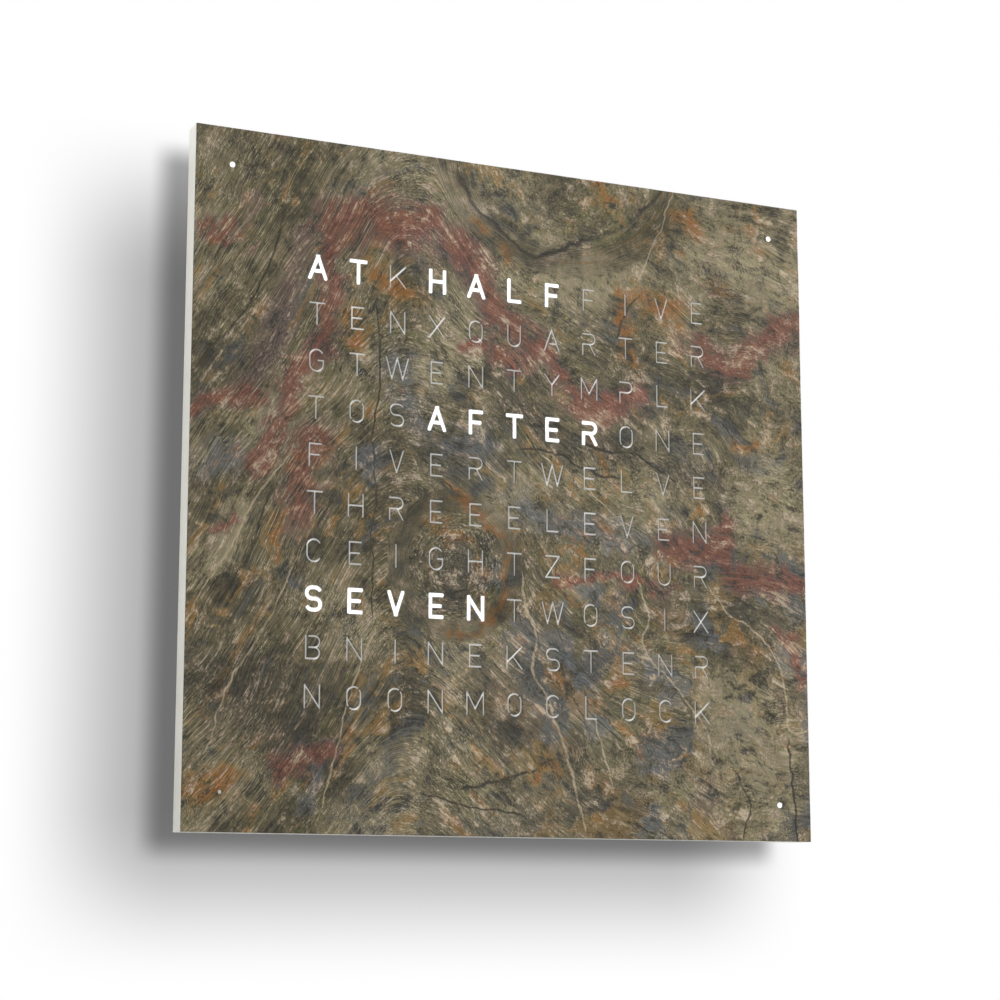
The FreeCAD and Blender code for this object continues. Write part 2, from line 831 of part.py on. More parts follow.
# Recess for the buttons inside the right-hand bar, and the holes from it to the outside
def build_button_recess(body):
    middle = "(-Sizes.recess_middle)"
    recess = new_sketch(body, "button_recess", inner_half, "YZ_Plane")
    add_rectangle(recess, "Sizes.recess_height", "Sizes.recess_length", middle, "Sizes.button_z")
    recess_depth = "(%s - %s)" % (button_wall_inner, inner_half)
    add_pocket(body, recess, recess_depth, forwards=True)
    holes = new_sketch(body, "button_holes", button_wall_inner, "YZ_Plane")
    hole_places = [(middle, "(Sizes.button_z + %s * Sizes.button_spacing)" % step) for step in button_steps]
    add_circles(holes, "(Sizes.button_diameter + 2 * Sizes.button_fit)", hole_places)
    window_up = "(Sizes.button_z + %s)" % window_step
    add_circle(holes, "(Sizes.window_diameter + 2 * Sizes.glue_clearance)", middle, window_up)
    add_pocket(body, holes, "(2 * Sizes.button_wall)", forwards=True)
    pilots = new_sketch(body, "button_board_pilots", button_wall_inner, "YZ_Plane")
    pilot_places = [(middle, "(Sizes.button_z + %d * %s)" % (sign, button_screw_step)) for sign in (-1, 1)]
    add_circles(pilots, "(Sizes.small_screw_diameter + 2 * Sizes.pilot_clearance)", pilot_places)
    add_pocket(body, pilots, "Sizes.small_screw_bite", forwards=True)


def build_holding_magnets():
    body = new_body("holding_magnets", depth="Sizes.frame_depth - Sizes.magnet_thickness")
    sketch = new_sketch(body, "magnet_discs")
    add_circles(sketch, "Sizes.magnet_diameter", magnet_places)
    add_pad(body, sketch, "Sizes.magnet_thickness")


def build_pin_bushes():
    body = new_body("pin_bushes", depth="Sizes.frame_depth - Sizes.bush_length")
    sketch = new_sketch(body, "bush_rings")
    add_circles(sketch, "Sizes.bush_diameter", pin_places)
    add_circles(sketch, "(Sizes.pin_diameter + 2 * Sizes.pin_fit)", pin_places)
    add_pad(body, sketch, "Sizes.bush_length")


# Back panel on the frame's ledge, flush with the wall face
def build_back_panel():
    body = new_body("back_panel")
    side = "(%s + 2 * Sizes.ledge_width - 2 * Sizes.panel_clearance)" % inner_side
    plate = new_sketch(body, "panel_plate")
    add_rectangle(plate, side, side)
    add_pad(body, plate, "Sizes.panel_thickness")
    sinks = new_sketch(body, "screw_sinks")
    holes = new_sketch(body, "screw_holes")
    add_circles(sinks, "(Sizes.screw_head_diameter + 2 * Sizes.head_clearance)", panel_screw_places)
    add_circles(holes, through_diameter, panel_screw_places)
    add_pocket(body, sinks, "Sizes.panel_screw_sink", forwards=True)
    add_pocket(body, holes)
    cup_hole = new_sketch(body, "cup_opening")
    add_rectangle(
        cup_hole,
        "(Sizes.cup_width + 2 * Sizes.cup_clearance)",
        "(Sizes.cup_height + 2 * Sizes.cup_clearance)",
        "Sizes.cup_x",
        cup_z,
    )
    add_pocket(body, cup_hole)
    hanger_seats = new_sketch(body, "hanger_seats")
    head_rooms = new_sketch(body, "hanger_head_rooms")
    hanger_pilots = new_sketch(body, "hanger_pilots")
    for sign in (-1, 1):
        x = "(%d * Sizes.hanger_spacing / 2)" % sign
        add_rectangle(
            hanger_seats,
            "(Sizes.hanger_width + 2 * Sizes.panel_clearance)",
            "(Sizes.hanger_height + 2 * Sizes.panel_clearance)",
            x,
            hanger_z,
        )
        add_rectangle(
            head_rooms,
            "(Sizes.keyhole_entry * 2)",
            "(Sizes.hanger_height - 2 * Sizes.head_clearance)",
            x,
            hanger_z,
        )
        for way in (-1, 1):
            screw_x = "(%s + %d * Sizes.hanger_screw_spacing / 2)" % (x, way)
            add_circle(hanger_pilots, pilot_diameter, screw_x, hanger_z)
    add_pocket(body, hanger_seats, "Sizes.hanger_sink", forwards=True)
    add_pocket(body, head_rooms)
    add_pocket(body, hanger_pilots)
    pilot_depth = "(Sizes.panel_thickness - Sizes.pilot_floor)"
    row_pilots = new_sketch(body, "row_pilots", "Sizes.panel_thickness")
    add_circles(row_pilots, pilot_diameter, lowest_row_screws)
    row_pockets = add_pocket(body, row_pilots, pilot_depth)
    add_pattern(body, row_pockets, row_pilots, up_the_rows)
    post_pilots = new_sketch(body, "post_pilots", "Sizes.panel_thickness")
    add_circles(post_pilots, pilot_diameter, post_places)
    add_pocket(body, post_pilots, pilot_depth)
    board_pilots = new_sketch(body, "board_pilots", "Sizes.panel_thickness")
    add_circles(board_pilots, pilot_diameter, minute_screw_places + control_screw_places)
    add_pocket(body, board_pilots, pilot_depth)


# Steel plates with a keyhole each, sunk in the panel's back
def build_hanging_plates():
    rear = "Sizes.hanger_sink - Sizes.hanger_thickness"
    body = new_body("hanging_plates", depth=rear, z=hanger_z)
    plates = new_sketch(body, "hanger_plates")
    entries = new_sketch(body, "keyhole_entries")
    slots = new_sketch(body, "keyhole_slots")
    seats = new_sketch(body, "keyhole_seats")
    screws = new_sketch(body, "hanger_screw_holes")
    for sign in (-1, 1):
        x = "(%d * Sizes.hanger_spacing / 2)" % sign
        add_rectangle(plates, "Sizes.hanger_width", "Sizes.hanger_height", x)
        add_circle(entries, "Sizes.keyhole_entry", x, "(-Sizes.keyhole_rise / 2)")
        add_rectangle(slots, "Sizes.keyhole_slot", "Sizes.keyhole_rise", x)
        add_circle(seats, "Sizes.keyhole_slot", x, "(Sizes.keyhole_rise / 2)")
        for way in (-1, 1):
            add_circle(screws, through_diameter, "(%s + %d * Sizes.hanger_screw_spacing / 2)" % (x, way))
    add_pad(body, plates, "Sizes.hanger_thickness")
    add_pocket(body, entries)
    add_pocket(body, slots)
    add_pocket(body, seats)
    add_pocket(body, screws)


def build_diffuser_sheet():
    body = new_body("diffuser_sheet", depth=baffle_front)
    side = "(%s + 2 * Sizes.rebate_width - 2 * Sizes.panel_clearance)" % inner_side
    sketch = new_sketch(body, "diffuser_plate")
    add_rectangle(sketch, side, side)
    add_pad(body, sketch, "Sizes.diffuser_thickness")


# Grid of light chambers, one for each letter, with a flange for its screws
def build_light_baffle():
    body = new_body("light_baffle", depth=board_front)
    block = new_sketch(body, "baffle_block")
    add_rectangle(block, baffle_width, baffle_height)
    add_pad(body, block, baffle_depth)
    sinks = new_sketch(body, "baffle_sinks", baffle_depth)
    holes = new_sketch(body, "baffle_holes")
    add_circles(sinks, "(Sizes.screw_head_diameter + 2 * Sizes.head_clearance)", post_places)
    add_circles(holes, through_diameter, post_places)
    add_pocket(body, sinks, "(%s - Sizes.flange_web)" % baffle_depth)
    add_pocket(body, holes)
    chamber = new_sketch(body, "chamber")
    add_rectangle(
        chamber,
        "(Sizes.column_pitch - Sizes.chamber_wall)",
        "(Sizes.row_pitch - Sizes.chamber_wall)",
        column_place(0),
        row_place(ROWS - 1),
    )
    cut = add_pocket(body, chamber)
    steps = [("H_Axis", "Sizes.column_pitch", COLUMNS), ("V_Axis", "Sizes.row_pitch", ROWS)]
    add_pattern(body, cut, chamber, steps)


def build_baffle_posts():
    body = new_body("baffle_posts", depth="Sizes.panel_thickness")
    sketch = new_sketch(body, "post_rings")
    add_circles(sketch, "Sizes.spacer_diameter", post_places)
    add_circles(sketch, through_diameter, post_places)
    add_pad(body, sketch, "(Sizes.spacer_height + Sizes.board_thickness)")


# One long board for each row of letters
def build_row_led_boards():
    body = new_body("row_led_boards", depth=board_back)
    sketch = new_sketch(body, "row_board")
    add_rectangle(sketch, "(2 * %s)" % row_board_half, "Sizes.row_board_height", "0", row_place(ROWS - 1))
    add_circles(sketch, through_diameter, lowest_row_screws)
    board = add_pad(body, sketch, "Sizes.board_thickness")
    add_pattern(body, board, sketch, up_the_rows)


def build_letter_leds():
    body = new_body("letter_leds", depth=board_front)
    sketch = new_sketch(body, "letter_led")
    add_rectangle(sketch, "Sizes.led_side", "Sizes.led_side", column_place(0), row_place(ROWS - 1))
    led = add_pad(body, sketch, "Sizes.led_height")
    steps = [("H_Axis", "Sizes.column_pitch", COLUMNS), ("V_Axis", "Sizes.row_pitch", ROWS)]
    add_pattern(body, led, sketch, steps)


def build_minute_light_tubes():
    body = new_body("minute_light_tubes", depth=board_front)
    sketch = new_sketch(body, "tube_rings")
    add_circles(sketch, "Sizes.tube_diameter", dot_places)
    add_circles(sketch, "(Sizes.tube_diameter - 2 * Sizes.tube_wall)", dot_places)
    add_pad(body, sketch, baffle_depth)


def build_minute_led_boards():
    body = new_body("minute_led_boards", depth=board_back)
    sketch = new_sketch(body, "minute_boards")
    add_rectangles(sketch, "Sizes.minute_board_side", "Sizes.minute_board_side", dot_places)
    add_circles(sketch, through_diameter, minute_screw_places)
    add_pad(body, sketch, "Sizes.board_thickness")


def build_minute_leds():
    body = new_body("minute_leds", depth=board_front)
    sketch = new_sketch(body, "minute_led_blocks")
    add_rectangles(sketch, "Sizes.led_side", "Sizes.led_side", dot_places)
    add_pad(body, sketch, "Sizes.led_height")


# Connectors on the ends of the row boards and on the minute boards.
# The rows are joined in turn at the right and at the left.
connector_x = "(" + row_board_half + " - Sizes.connector_inset)"
connector_lift = "(Sizes.row_board_height / 2 - Sizes.connector_length / 2 - Sizes.board_thickness / 4)"
jumper_places = []
for row in range(ROWS - 1):
    side = 1 if row % 2 == 0 else -1
    jumper_x = "(%d * %s)" % (side, connector_x)
    upper = "(%s - %s)" % (row_place(row), connector_lift)
    lower = "(%s + %s)" % (row_place(row + 1), connector_lift)
    jumper_places.append((jumper_x, upper, lower))
top_feed_z = "(%s + %s)" % (row_place(0), connector_lift)
data_feed_z = "(%s - %s)" % (row_place(ROWS - 1), connector_lift)
feed_connector_places = [
    ("(-%s)" % connector_x, top_feed_z),
    (connector_x, top_feed_z),
    ("(-%s)" % connector_x, data_feed_z),
]
minute_connector_places = []
for (sx, sz), (x, z) in zip(corner_signs, dot_places):
    across = "(%s + %d * %s)" % (x, sx, minute_screw_offset)
    up = "(%s - %d * %s)" % (z, sz, minute_screw_offset)
    minute_connector_places.append((across, up))


def build_led_connectors():
    body = new_body("led_connectors", depth=board_front)
    feeds = new_sketch(body, "feed_connectors")
    add_rectangles(feeds, "Sizes.connector_width", "Sizes.connector_length",
                   feed_connector_places + minute_connector_places)
    add_pad(body, feeds, "Sizes.connector_height")
    for lowest in jumper_places[-2:]:
        x, upper, lower = lowest
        pair = new_sketch(body, "jumper_connectors")
        add_rectangles(pair, "Sizes.connector_width", "Sizes.connector_length", [(x, upper), (x, lower)])
        blocks = add_pad(body, pair, "Sizes.connector_height")
        count = len(jumper_places[jumper_places.index(lowest)::-2])
        add_pattern(body, blocks, pair, [("V_Axis", "(2 * Sizes.row_pitch)", count)])


def build_board_spacers():
    body = new_body("board_spacers", depth="Sizes.panel_thickness")
    row_rings = new_sketch(body, "row_spacer_rings")
    add_circles(row_rings, "Sizes.spacer_diameter", lowest_row_screws)
    add_circles(row_rings, through_diameter, lowest_row_screws)
    row_spacers = add_pad(body, row_rings, "Sizes.spacer_height")
    add_pattern(body, row_spacers, row_rings, up_the_rows)
    rings = new_sketch(body, "spacer_rings")
    add_circles(rings, "Sizes.spacer_diameter", minute_screw_places + control_screw_places)
    add_circles(rings, through_diameter, minute_screw_places + control_screw_places)
    add_pad(body, rings, "Sizes.spacer_height")


# Control board and the parts on it, placed from the middle of the board
def build_control_board():
    body = new_body("control_board", "Sizes.control_x", board_back, control_z)
    sketch = new_sketch(body, "control_plate")
    add_rectangle(sketch, "Sizes.control_width", "Sizes.control_height")
    screw_x = "(%d * (Sizes.control_width / 2 - Sizes.control_screw_inset))"
    screw_z = "(%d * (Sizes.control_height / 2 - Sizes.control_screw_inset))"
    add_circles(sketch, through_diameter, [(screw_x % sx, screw_z % sz) for sx, sz in corner_signs])
    add_pad(body, sketch, "Sizes.board_thickness")


def build_blocks(label, blocks, height):
    body = new_body(label, "Sizes.control_x", board_front, control_z)
    sketch = new_sketch(body, label + "_blocks")
    for width, length, x, z in blocks:
        add_rectangle(sketch, width, length, x, z)
    add_pad(body, sketch, height)


control_connector_x = "(Sizes.control_width / 2 - Sizes.connector_inset + Sizes.board_thickness / 4)"
control_connector_steps = (-1, 0, 1)
control_connector_pitch = "(Sizes.control_height / 3.2)"


def build_control_parts():
    chip = ("Sizes.chip_side", "Sizes.chip_side", "0", "0")
    build_blocks("microcontroller_chip", [chip], "Sizes.chip_height")
    crystal_x = "(Sizes.chip_side / 2 + Sizes.crystal_length)"
    build_blocks(
        "clock_crystal",
        [("Sizes.crystal_length", "Sizes.crystal_width", crystal_x, "(Sizes.chip_side / 2)")],
        "Sizes.crystal_height",
    )
    drivers = []
    for step in (-1, 0, 1):
        x = "(%d * Sizes.driver_pitch - Sizes.control_width / 4)" % step
        drivers.append(("Sizes.driver_length", "Sizes.driver_width", x, "(Sizes.control_height / 4)"))
    build_blocks("led_driver_chips", drivers, "Sizes.driver_height")
    supply_x = "(Sizes.control_width / 4 + Sizes.regulator_length)"
    build_blocks(
        "power_regulator",
        [("Sizes.regulator_length", "Sizes.regulator_width", supply_x, "(Sizes.control_height / 4)")],
        "Sizes.regulator_height",
    )
    receiver_x = "(Sizes.receiver_width / 2 + Sizes.connector_width * 2 - Sizes.control_width / 2)"
    build_blocks(
        "radio_receiver",
        [("Sizes.receiver_width", "Sizes.receiver_length", receiver_x, "(-Sizes.control_height / 5)")],
        "Sizes.receiver_height",
    )
    connectors = []
    for side in (-1, 1):
        for step in control_connector_steps:
            across = "(%d * %s)" % (side, control_connector_x)
            up = "(%d * %s)" % (step, control_connector_pitch)
            connectors.append(("Sizes.connector_width", "Sizes.connector_length", across, up))
    build_blocks("board_connectors", connectors, "Sizes.connector_height")
    capacitors = new_body("reservoir_capacitors", "Sizes.control_x", board_front, control_z)
    cans = new_sketch(capacitors, "capacitor_cans")
    for sign in (-1, 1):
        can_x = "(%s + %d * Sizes.capacitor_pitch / 2)" % (supply_x, sign)
        add_circle(cans, "Sizes.capacitor_diameter", can_x, "(-Sizes.capacitor_diameter / 4)")
    add_pad(capacitors, cans, "Sizes.capacitor_height")


# Coin cell that keeps the time while the supply is off, in a round holder
def build_backup_cell():
    cell_x = "(Sizes.control_x + Sizes.cell_diameter * 1.4)"
    cell_z = "(%s - Sizes.cell_diameter * 0.75)" % control_z
    holder = new_body("cell_holder", cell_x, board_front, cell_z)
    cup = new_sketch(holder, "holder_disc")
    bore = "(Sizes.cell_diameter + 2 * Sizes.cell_clearance)"
    add_circle(cup, "(%s + 2 * Sizes.holder_wall)" % bore)
    add_pad(holder, cup, "(Sizes.holder_floor + Sizes.cell_thickness)")
    hollow = new_sketch(holder, "holder_hollow", "(Sizes.holder_floor + Sizes.cell_thickness)")
    add_circle(hollow, bore)
    add_pocket(holder, hollow, "Sizes.cell_thickness")
    cell = new_body("backup_cell", cell_x, "%s + Sizes.holder_floor" % board_front, cell_z)
    disc = new_sketch(cell, "cell_disc")
    add_circle(disc, "Sizes.cell_diameter")
    add_pad(cell, disc, "Sizes.cell_thickness")


# Ferrite rod with its winding, held on the panel by two square clips
def build_antenna():
    axis_depth = "(Sizes.panel_thickness + Sizes.clip_side / 2)"
    rod = new_body("antenna_rod", "Sizes.antenna_x - Sizes.rod_length / 2", axis_depth, antenna_z)
    rod_circle = new_sketch(rod, "rod_section", None, "YZ_Plane")
    add_circle(rod_circle, "Sizes.rod_diameter")
    add_pad(rod, rod_circle, "Sizes.rod_length")
    coil = new_body("antenna_coil", "Sizes.antenna_x - Sizes.coil_length / 2", axis_depth, antenna_z)
    coil_ring = new_sketch(coil, "coil_section", None, "YZ_Plane")
    add_circle(coil_ring, "Sizes.coil_diameter")
    add_circle(coil_ring, "(Sizes.rod_diameter + 2 * Sizes.coil_clearance)")
    add_pad(coil, coil_ring, "Sizes.coil_length")
    clips = new_body("antenna_clips", "Sizes.antenna_x", axis_depth, antenna_z)
    for sign in (-1, 1):
        lift = "(%d * Sizes.clip_spacing / 2 - Sizes.clip_width / 2)" % sign
        section = new_sketch(clips, "clip_section", lift, "YZ_Plane")
        add_rectangle(section, "Sizes.clip_side", "Sizes.clip_side")
        add_circle(section, "(Sizes.rod_diameter + 2 * Sizes.coil_clearance)")
        add_pad(clips, section, "Sizes.clip_width")


# Cup in the back for the supply plug, with the jack on its left wall
jack_back = "(Sizes.panel_thickness + Sizes.cup_flange_height + Sizes.cup_clearance)"
jack_depth = "(" + jack_back + " + Sizes.jack_height / 2)"


def build_inlet():
    cup = new_body("inlet_cup", "Sizes.cup_x", "0", cup_z)
    outer = new_sketch(cup, "cup_block")
    add_rectangle(outer, "Sizes.cup_width", "Sizes.cup_height")
    cup_reach = "(Sizes.panel_thickness + Sizes.cup_depth)"
    add_pad(cup, outer, cup_reach)
    flange = new_sketch(cup, "cup_rim", "Sizes.panel_thickness")
    add_rectangle(
        flange,
        "(Sizes.cup_width + 2 * Sizes.cup_flange)",
        "(Sizes.cup_height + 2 * Sizes.cup_flange)",
    )
    add_pad(cup, flange, "Sizes.cup_flange_height")
    hollow = new_sketch(cup, "cup_hollow")
    add_rectangle(
        hollow,
        "(Sizes.cup_width - 2 * Sizes.cup_wall)",
        "(Sizes.cup_height - 2 * Sizes.cup_wall)",
    )
    add_pocket(cup, hollow, "(%s - Sizes.cup_wall)" % cup_reach, forwards=True)
    mouth = new_sketch(cup, "jack_mouth", "(-Sizes.cup_width / 2)", "YZ_Plane")
    add_circle(mouth, "(Sizes.jack_bore + 2 * Sizes.cup_clearance)", "(-%s)" % jack_depth)
    add_pocket(cup, mouth, "(2 * Sizes.cup_wall)", forwards=True)
    jack_end = "(Sizes.cup_x - Sizes.cup_width / 2 - Sizes.jack_length)"
    jack = new_body("dc_jack_body", jack_end, jack_depth, cup_z)
    block = new_sketch(jack, "jack_block", None, "YZ_Plane")
    add_rectangle(block, "Sizes.jack_height", "Sizes.jack_width")
    add_pad(jack, block, "Sizes.jack_length")
    bore = new_sketch(jack, "jack_bore_circle", "Sizes.jack_length", "YZ_Plane")
    add_circle(bore, "Sizes.jack_bore")
    add_pocket(jack, bore, "Sizes.jack_bore_depth")
    bore_floor = "(%s + Sizes.jack_length - Sizes.jack_bore_depth)" % jack_end
    pin = new_body("dc_jack_pin", bore_floor, jack_depth, cup_z)
    pin_circle = new_sketch(pin, "jack_pin_circle", None, "YZ_Plane")
    add_circle(pin_circle, "Sizes.jack_pin_diameter")
    add_pad(pin, pin_circle, "(Sizes.jack_bore_depth - Sizes.cup_wall / 2)")


# Button board behind the right-hand side, with its switches, spacers and light sensor
def build_button_board():
    board = new_body("button_board", button_board_back, "Sizes.recess_middle", "Sizes.button_z")
    plate = new_sketch(board, "button_plate", None, "YZ_Plane")
    add_rectangle(plate, "Sizes.button_board_width", "Sizes.button_board_length")
    for sign in (-1, 1):
        hole = "(Sizes.small_screw_diameter + 2 * Sizes.screw_clearance)"
        add_circle(plate, hole, "0", "(%d * %s)" % (sign, button_screw_step))
    add_pad(board, plate, "Sizes.board_thickness")
    switches = new_body("button_switches", switch_base, "Sizes.recess_middle", "Sizes.button_z")
    cases = new_sketch(switches, "switch_cases", None, "YZ_Plane")
    plungers = new_sketch(switches, "switch_plungers", "Sizes.switch_height", "YZ_Plane")
    for step in button_steps:
        up = "(%s * Sizes.button_spacing)" % step
        add_rectangle(cases, "Sizes.switch_side", "Sizes.switch_side", "0", up)
        add_circle(plungers, "Sizes.plunger_diameter", "0", up)
    add_pad(switches, cases, "Sizes.switch_height")
    add_pad(switches, plungers, "Sizes.plunger_height")
    spacers = new_body("button_board_spacers", switch_base, "Sizes.recess_middle", "Sizes.button_z")
    rings = new_sketch(spacers, "small_spacer_rings", None, "YZ_Plane")
    for sign in (-1, 1):
        up = "(%d * %s)" % (sign, button_screw_step)
        add_circle(rings, "Sizes.small_spacer_diameter", "0", up)
        add_circle(rings, "(Sizes.small_screw_diameter + 2 * Sizes.screw_clearance)", "0", up)
    add_pad(spacers, rings, "(%s - %s)" % (button_wall_inner, switch_base))
    window_z = "Sizes.button_z + %s" % window_step
    sensor = new_body("light_sensor", switch_base, "Sizes.recess_middle", window_z)
    sensor_block = new_sketch(sensor, "sensor_block", None, "YZ_Plane")
    add_rectangle(sensor_block, "Sizes.sensor_side", "Sizes.sensor_side")
    add_pad(sensor, sensor_block, "Sizes.sensor_height")
    window = new_body("sensor_window", button_wall_inner, "Sizes.recess_middle", window_z)
    window_circle = new_sketch(window, "window_circle", None, "YZ_Plane")
    add_circle(window_circle, "Sizes.window_diameter")
    add_pad(window, window_circle, "Sizes.button_wall")


# Push buttons: a cap with a flange behind the wall and a spring behind the flange
def build_button_caps():
    crown = "(Sizes.face_side / 2 + Sizes.button_proud)"
    shank = "(Sizes.button_proud + Sizes.button_wall + Sizes.button_gap)"
    for number, step in enumerate(button_steps, start=1):
        up = "Sizes.button_z + %s * Sizes.button_spacing" % step
        cap = new_body("button_cap_%d" % number, crown, "Sizes.recess_middle", up)
        shank_circle = new_sketch(cap, "cap_shank", None, "YZ_Plane")
        add_circle(shank_circle, "Sizes.button_diameter")
        add_pad(cap, shank_circle, shank, backwards=True)
        flange_circle = new_sketch(cap, "cap_flange", "(-%s)" % shank, "YZ_Plane")
        add_circle(flange_circle, "Sizes.button_flange")
        flange_pad = add_pad(cap, flange_circle, "Sizes.button_flange_height", backwards=True)
        doc.recompute()
        rim_edges = []
        for index, edge in enumerate(flange_pad.Shape.Edges, start=1):
            if abs(edge.CenterOfMass.x) < 0.001 and edge.Closed:
                rim_edges.append("Edge%d" % index)
        rim = cap.newObject("PartDesign::Fillet", "cap_rim")
        rim.Base = (flange_pad, rim_edges)
        rim.setExpression("Radius", "Sizes.button_proud / 2")


# Tube of a lead: straight runs joined by arcs that touch both runs
def lead_tube(label, points, diameter, bend_share=0.45):
    pieces = []
    here = points[0]
    radii = []
    for before, corner, after in zip(points, points[1:], points[2:]):
        come = (corner - before).normalize()
        leave = (after - corner).normalize()
        turn = come.getAngle(leave)
        reach = bend_share * min((corner - before).Length, (after - corner).Length)
        radius = reach / math.tan(turn / 2)
        radii.append(radius)
        start = corner - come * reach
        end = corner + leave * reach
        inward = (leave - come).normalize()
        middle = corner + inward * (radius / math.cos(turn / 2) - radius)
        pieces.append(Part.LineSegment(here, start).toShape())
        pieces.append(Part.Arc(start, middle, end).toShape())
        here = end
    pieces.append(Part.LineSegment(here, points[-1]).toShape())
    path = Part.Wire(pieces)
    section = Part.Wire([Part.Circle(points[0], points[1] - points[0], diameter / 2).toShape()])
    tube = path.makePipeShell([section], True, False)
    expected = path.Length * math.pi * diameter ** 2 / 4
    print("%s: least bend %.1f mm, volume over section times length %.4f"
          % (label, min(radii) if radii else 0, tube.Volume / expected))
    return tube


# Coil spring of a button, from the board to the flange, made of quarter turns
def spring_tube(start_x, end_x, axis_y, axis_z):
    wire = size("spring_wire")
    reach = size("spring_diameter") / 2 - wire / 2
    first = start_x + wire / 2 + size("pilot_clearance")
    last = end_x - wire / 2 - size("pilot_clearance")
    quarters = int(4 * size("spring_turns"))

    def at(quarter):
        turn = quarter * math.pi / 2
        x = first + (last - first) * quarter / quarters
        return FreeCAD.Vector(x, axis_y + reach * math.cos(turn), axis_z + reach * math.sin(turn))

    arcs = [Part.Arc(at(i), at(i + 0.5), at(i + 1)).toShape() for i in range(quarters)]
    path = Part.Wire(arcs)
    along = arcs[0].tangentAt(arcs[0].FirstParameter)
    section = Part.Wire([Part.Circle(at(0), along, wire / 2).toShape()])
    return path.makePipeShell([section], True, False)


def build_button_springs():
    for number, step in enumerate(button_steps, start=1):
        axis_z = value("Sizes.button_z + %s * Sizes.button_spacing" % step)
        tube = spring_tube(value(switch_base), value(flange_back), -size("recess_middle"), axis_z)
        add_feature("button_spring_%d" % number, tube)


# Screws of each kind
def build_screws():
    long_screw = screw_pattern(
        "long_screw",
        "Sizes.screw_diameter",
        "Sizes.panel_screw_length",
        "Sizes.screw_head_diameter",
        "Sizes.screw_head_height",
    )
    board_screw = screw_pattern(
        "board_screw",
        "Sizes.screw_diameter",
        "Sizes.screw_length",
        "Sizes.screw_head_diameter",
        "Sizes.screw_head_height",
    )
    hanger_screw = screw_pattern(
        "hanger_screw",
        "Sizes.screw_diameter",
        "Sizes.hanger_screw_length",
        "Sizes.screw_head_diameter",
        "Sizes.hanger_head_height",
    )
    small_screw = screw_pattern(
        "small_screw",
        "Sizes.small_screw_diameter",
        "(%s - %s + Sizes.small_screw_bite)" % (button_wall_inner, button_board_back),
        "(Sizes.small_screw_diameter * 1.9)",
        "(Sizes.small_screw_diameter * 0.7)",
    )
    doc.recompute()

    def at_depth(places, depth):
        return [FreeCAD.Vector(value(x), -value(depth), value(z)) for x, z in places]

    add_copies("panel_screws", long_screw, at_depth(panel_screw_places, "Sizes.panel_screw_sink"), to_wall)
    web_front = board_front + " + Sizes.flange_web"
    add_copies("baffle_screws", long_screw, at_depth(post_places, web_front), to_reader)
    add_copies("board_screws", board_screw, at_depth(board_screw_places, board_front), to_reader)
    hanger_places = []
    for sign in (-1, 1):
        for way in (-1, 1):
            x = "%d * Sizes.hanger_spacing / 2 + %d * Sizes.hanger_screw_spacing / 2" % (sign, way)
            hanger_places.append((x, hanger_z))
    rear = "Sizes.hanger_sink - Sizes.hanger_thickness"
    add_copies("hanging_plate_screws", hanger_screw, at_depth(hanger_places, rear), to_wall)
    small_places = []
    for sign in (-1, 1):
        z = value("Sizes.button_z + %d * %s" % (sign, button_screw_step))
        small_places.append(FreeCAD.Vector(value(button_board_back), -size("recess_middle"), z))
    add_copies("button_board_screws", small_screw, small_places, to_left)


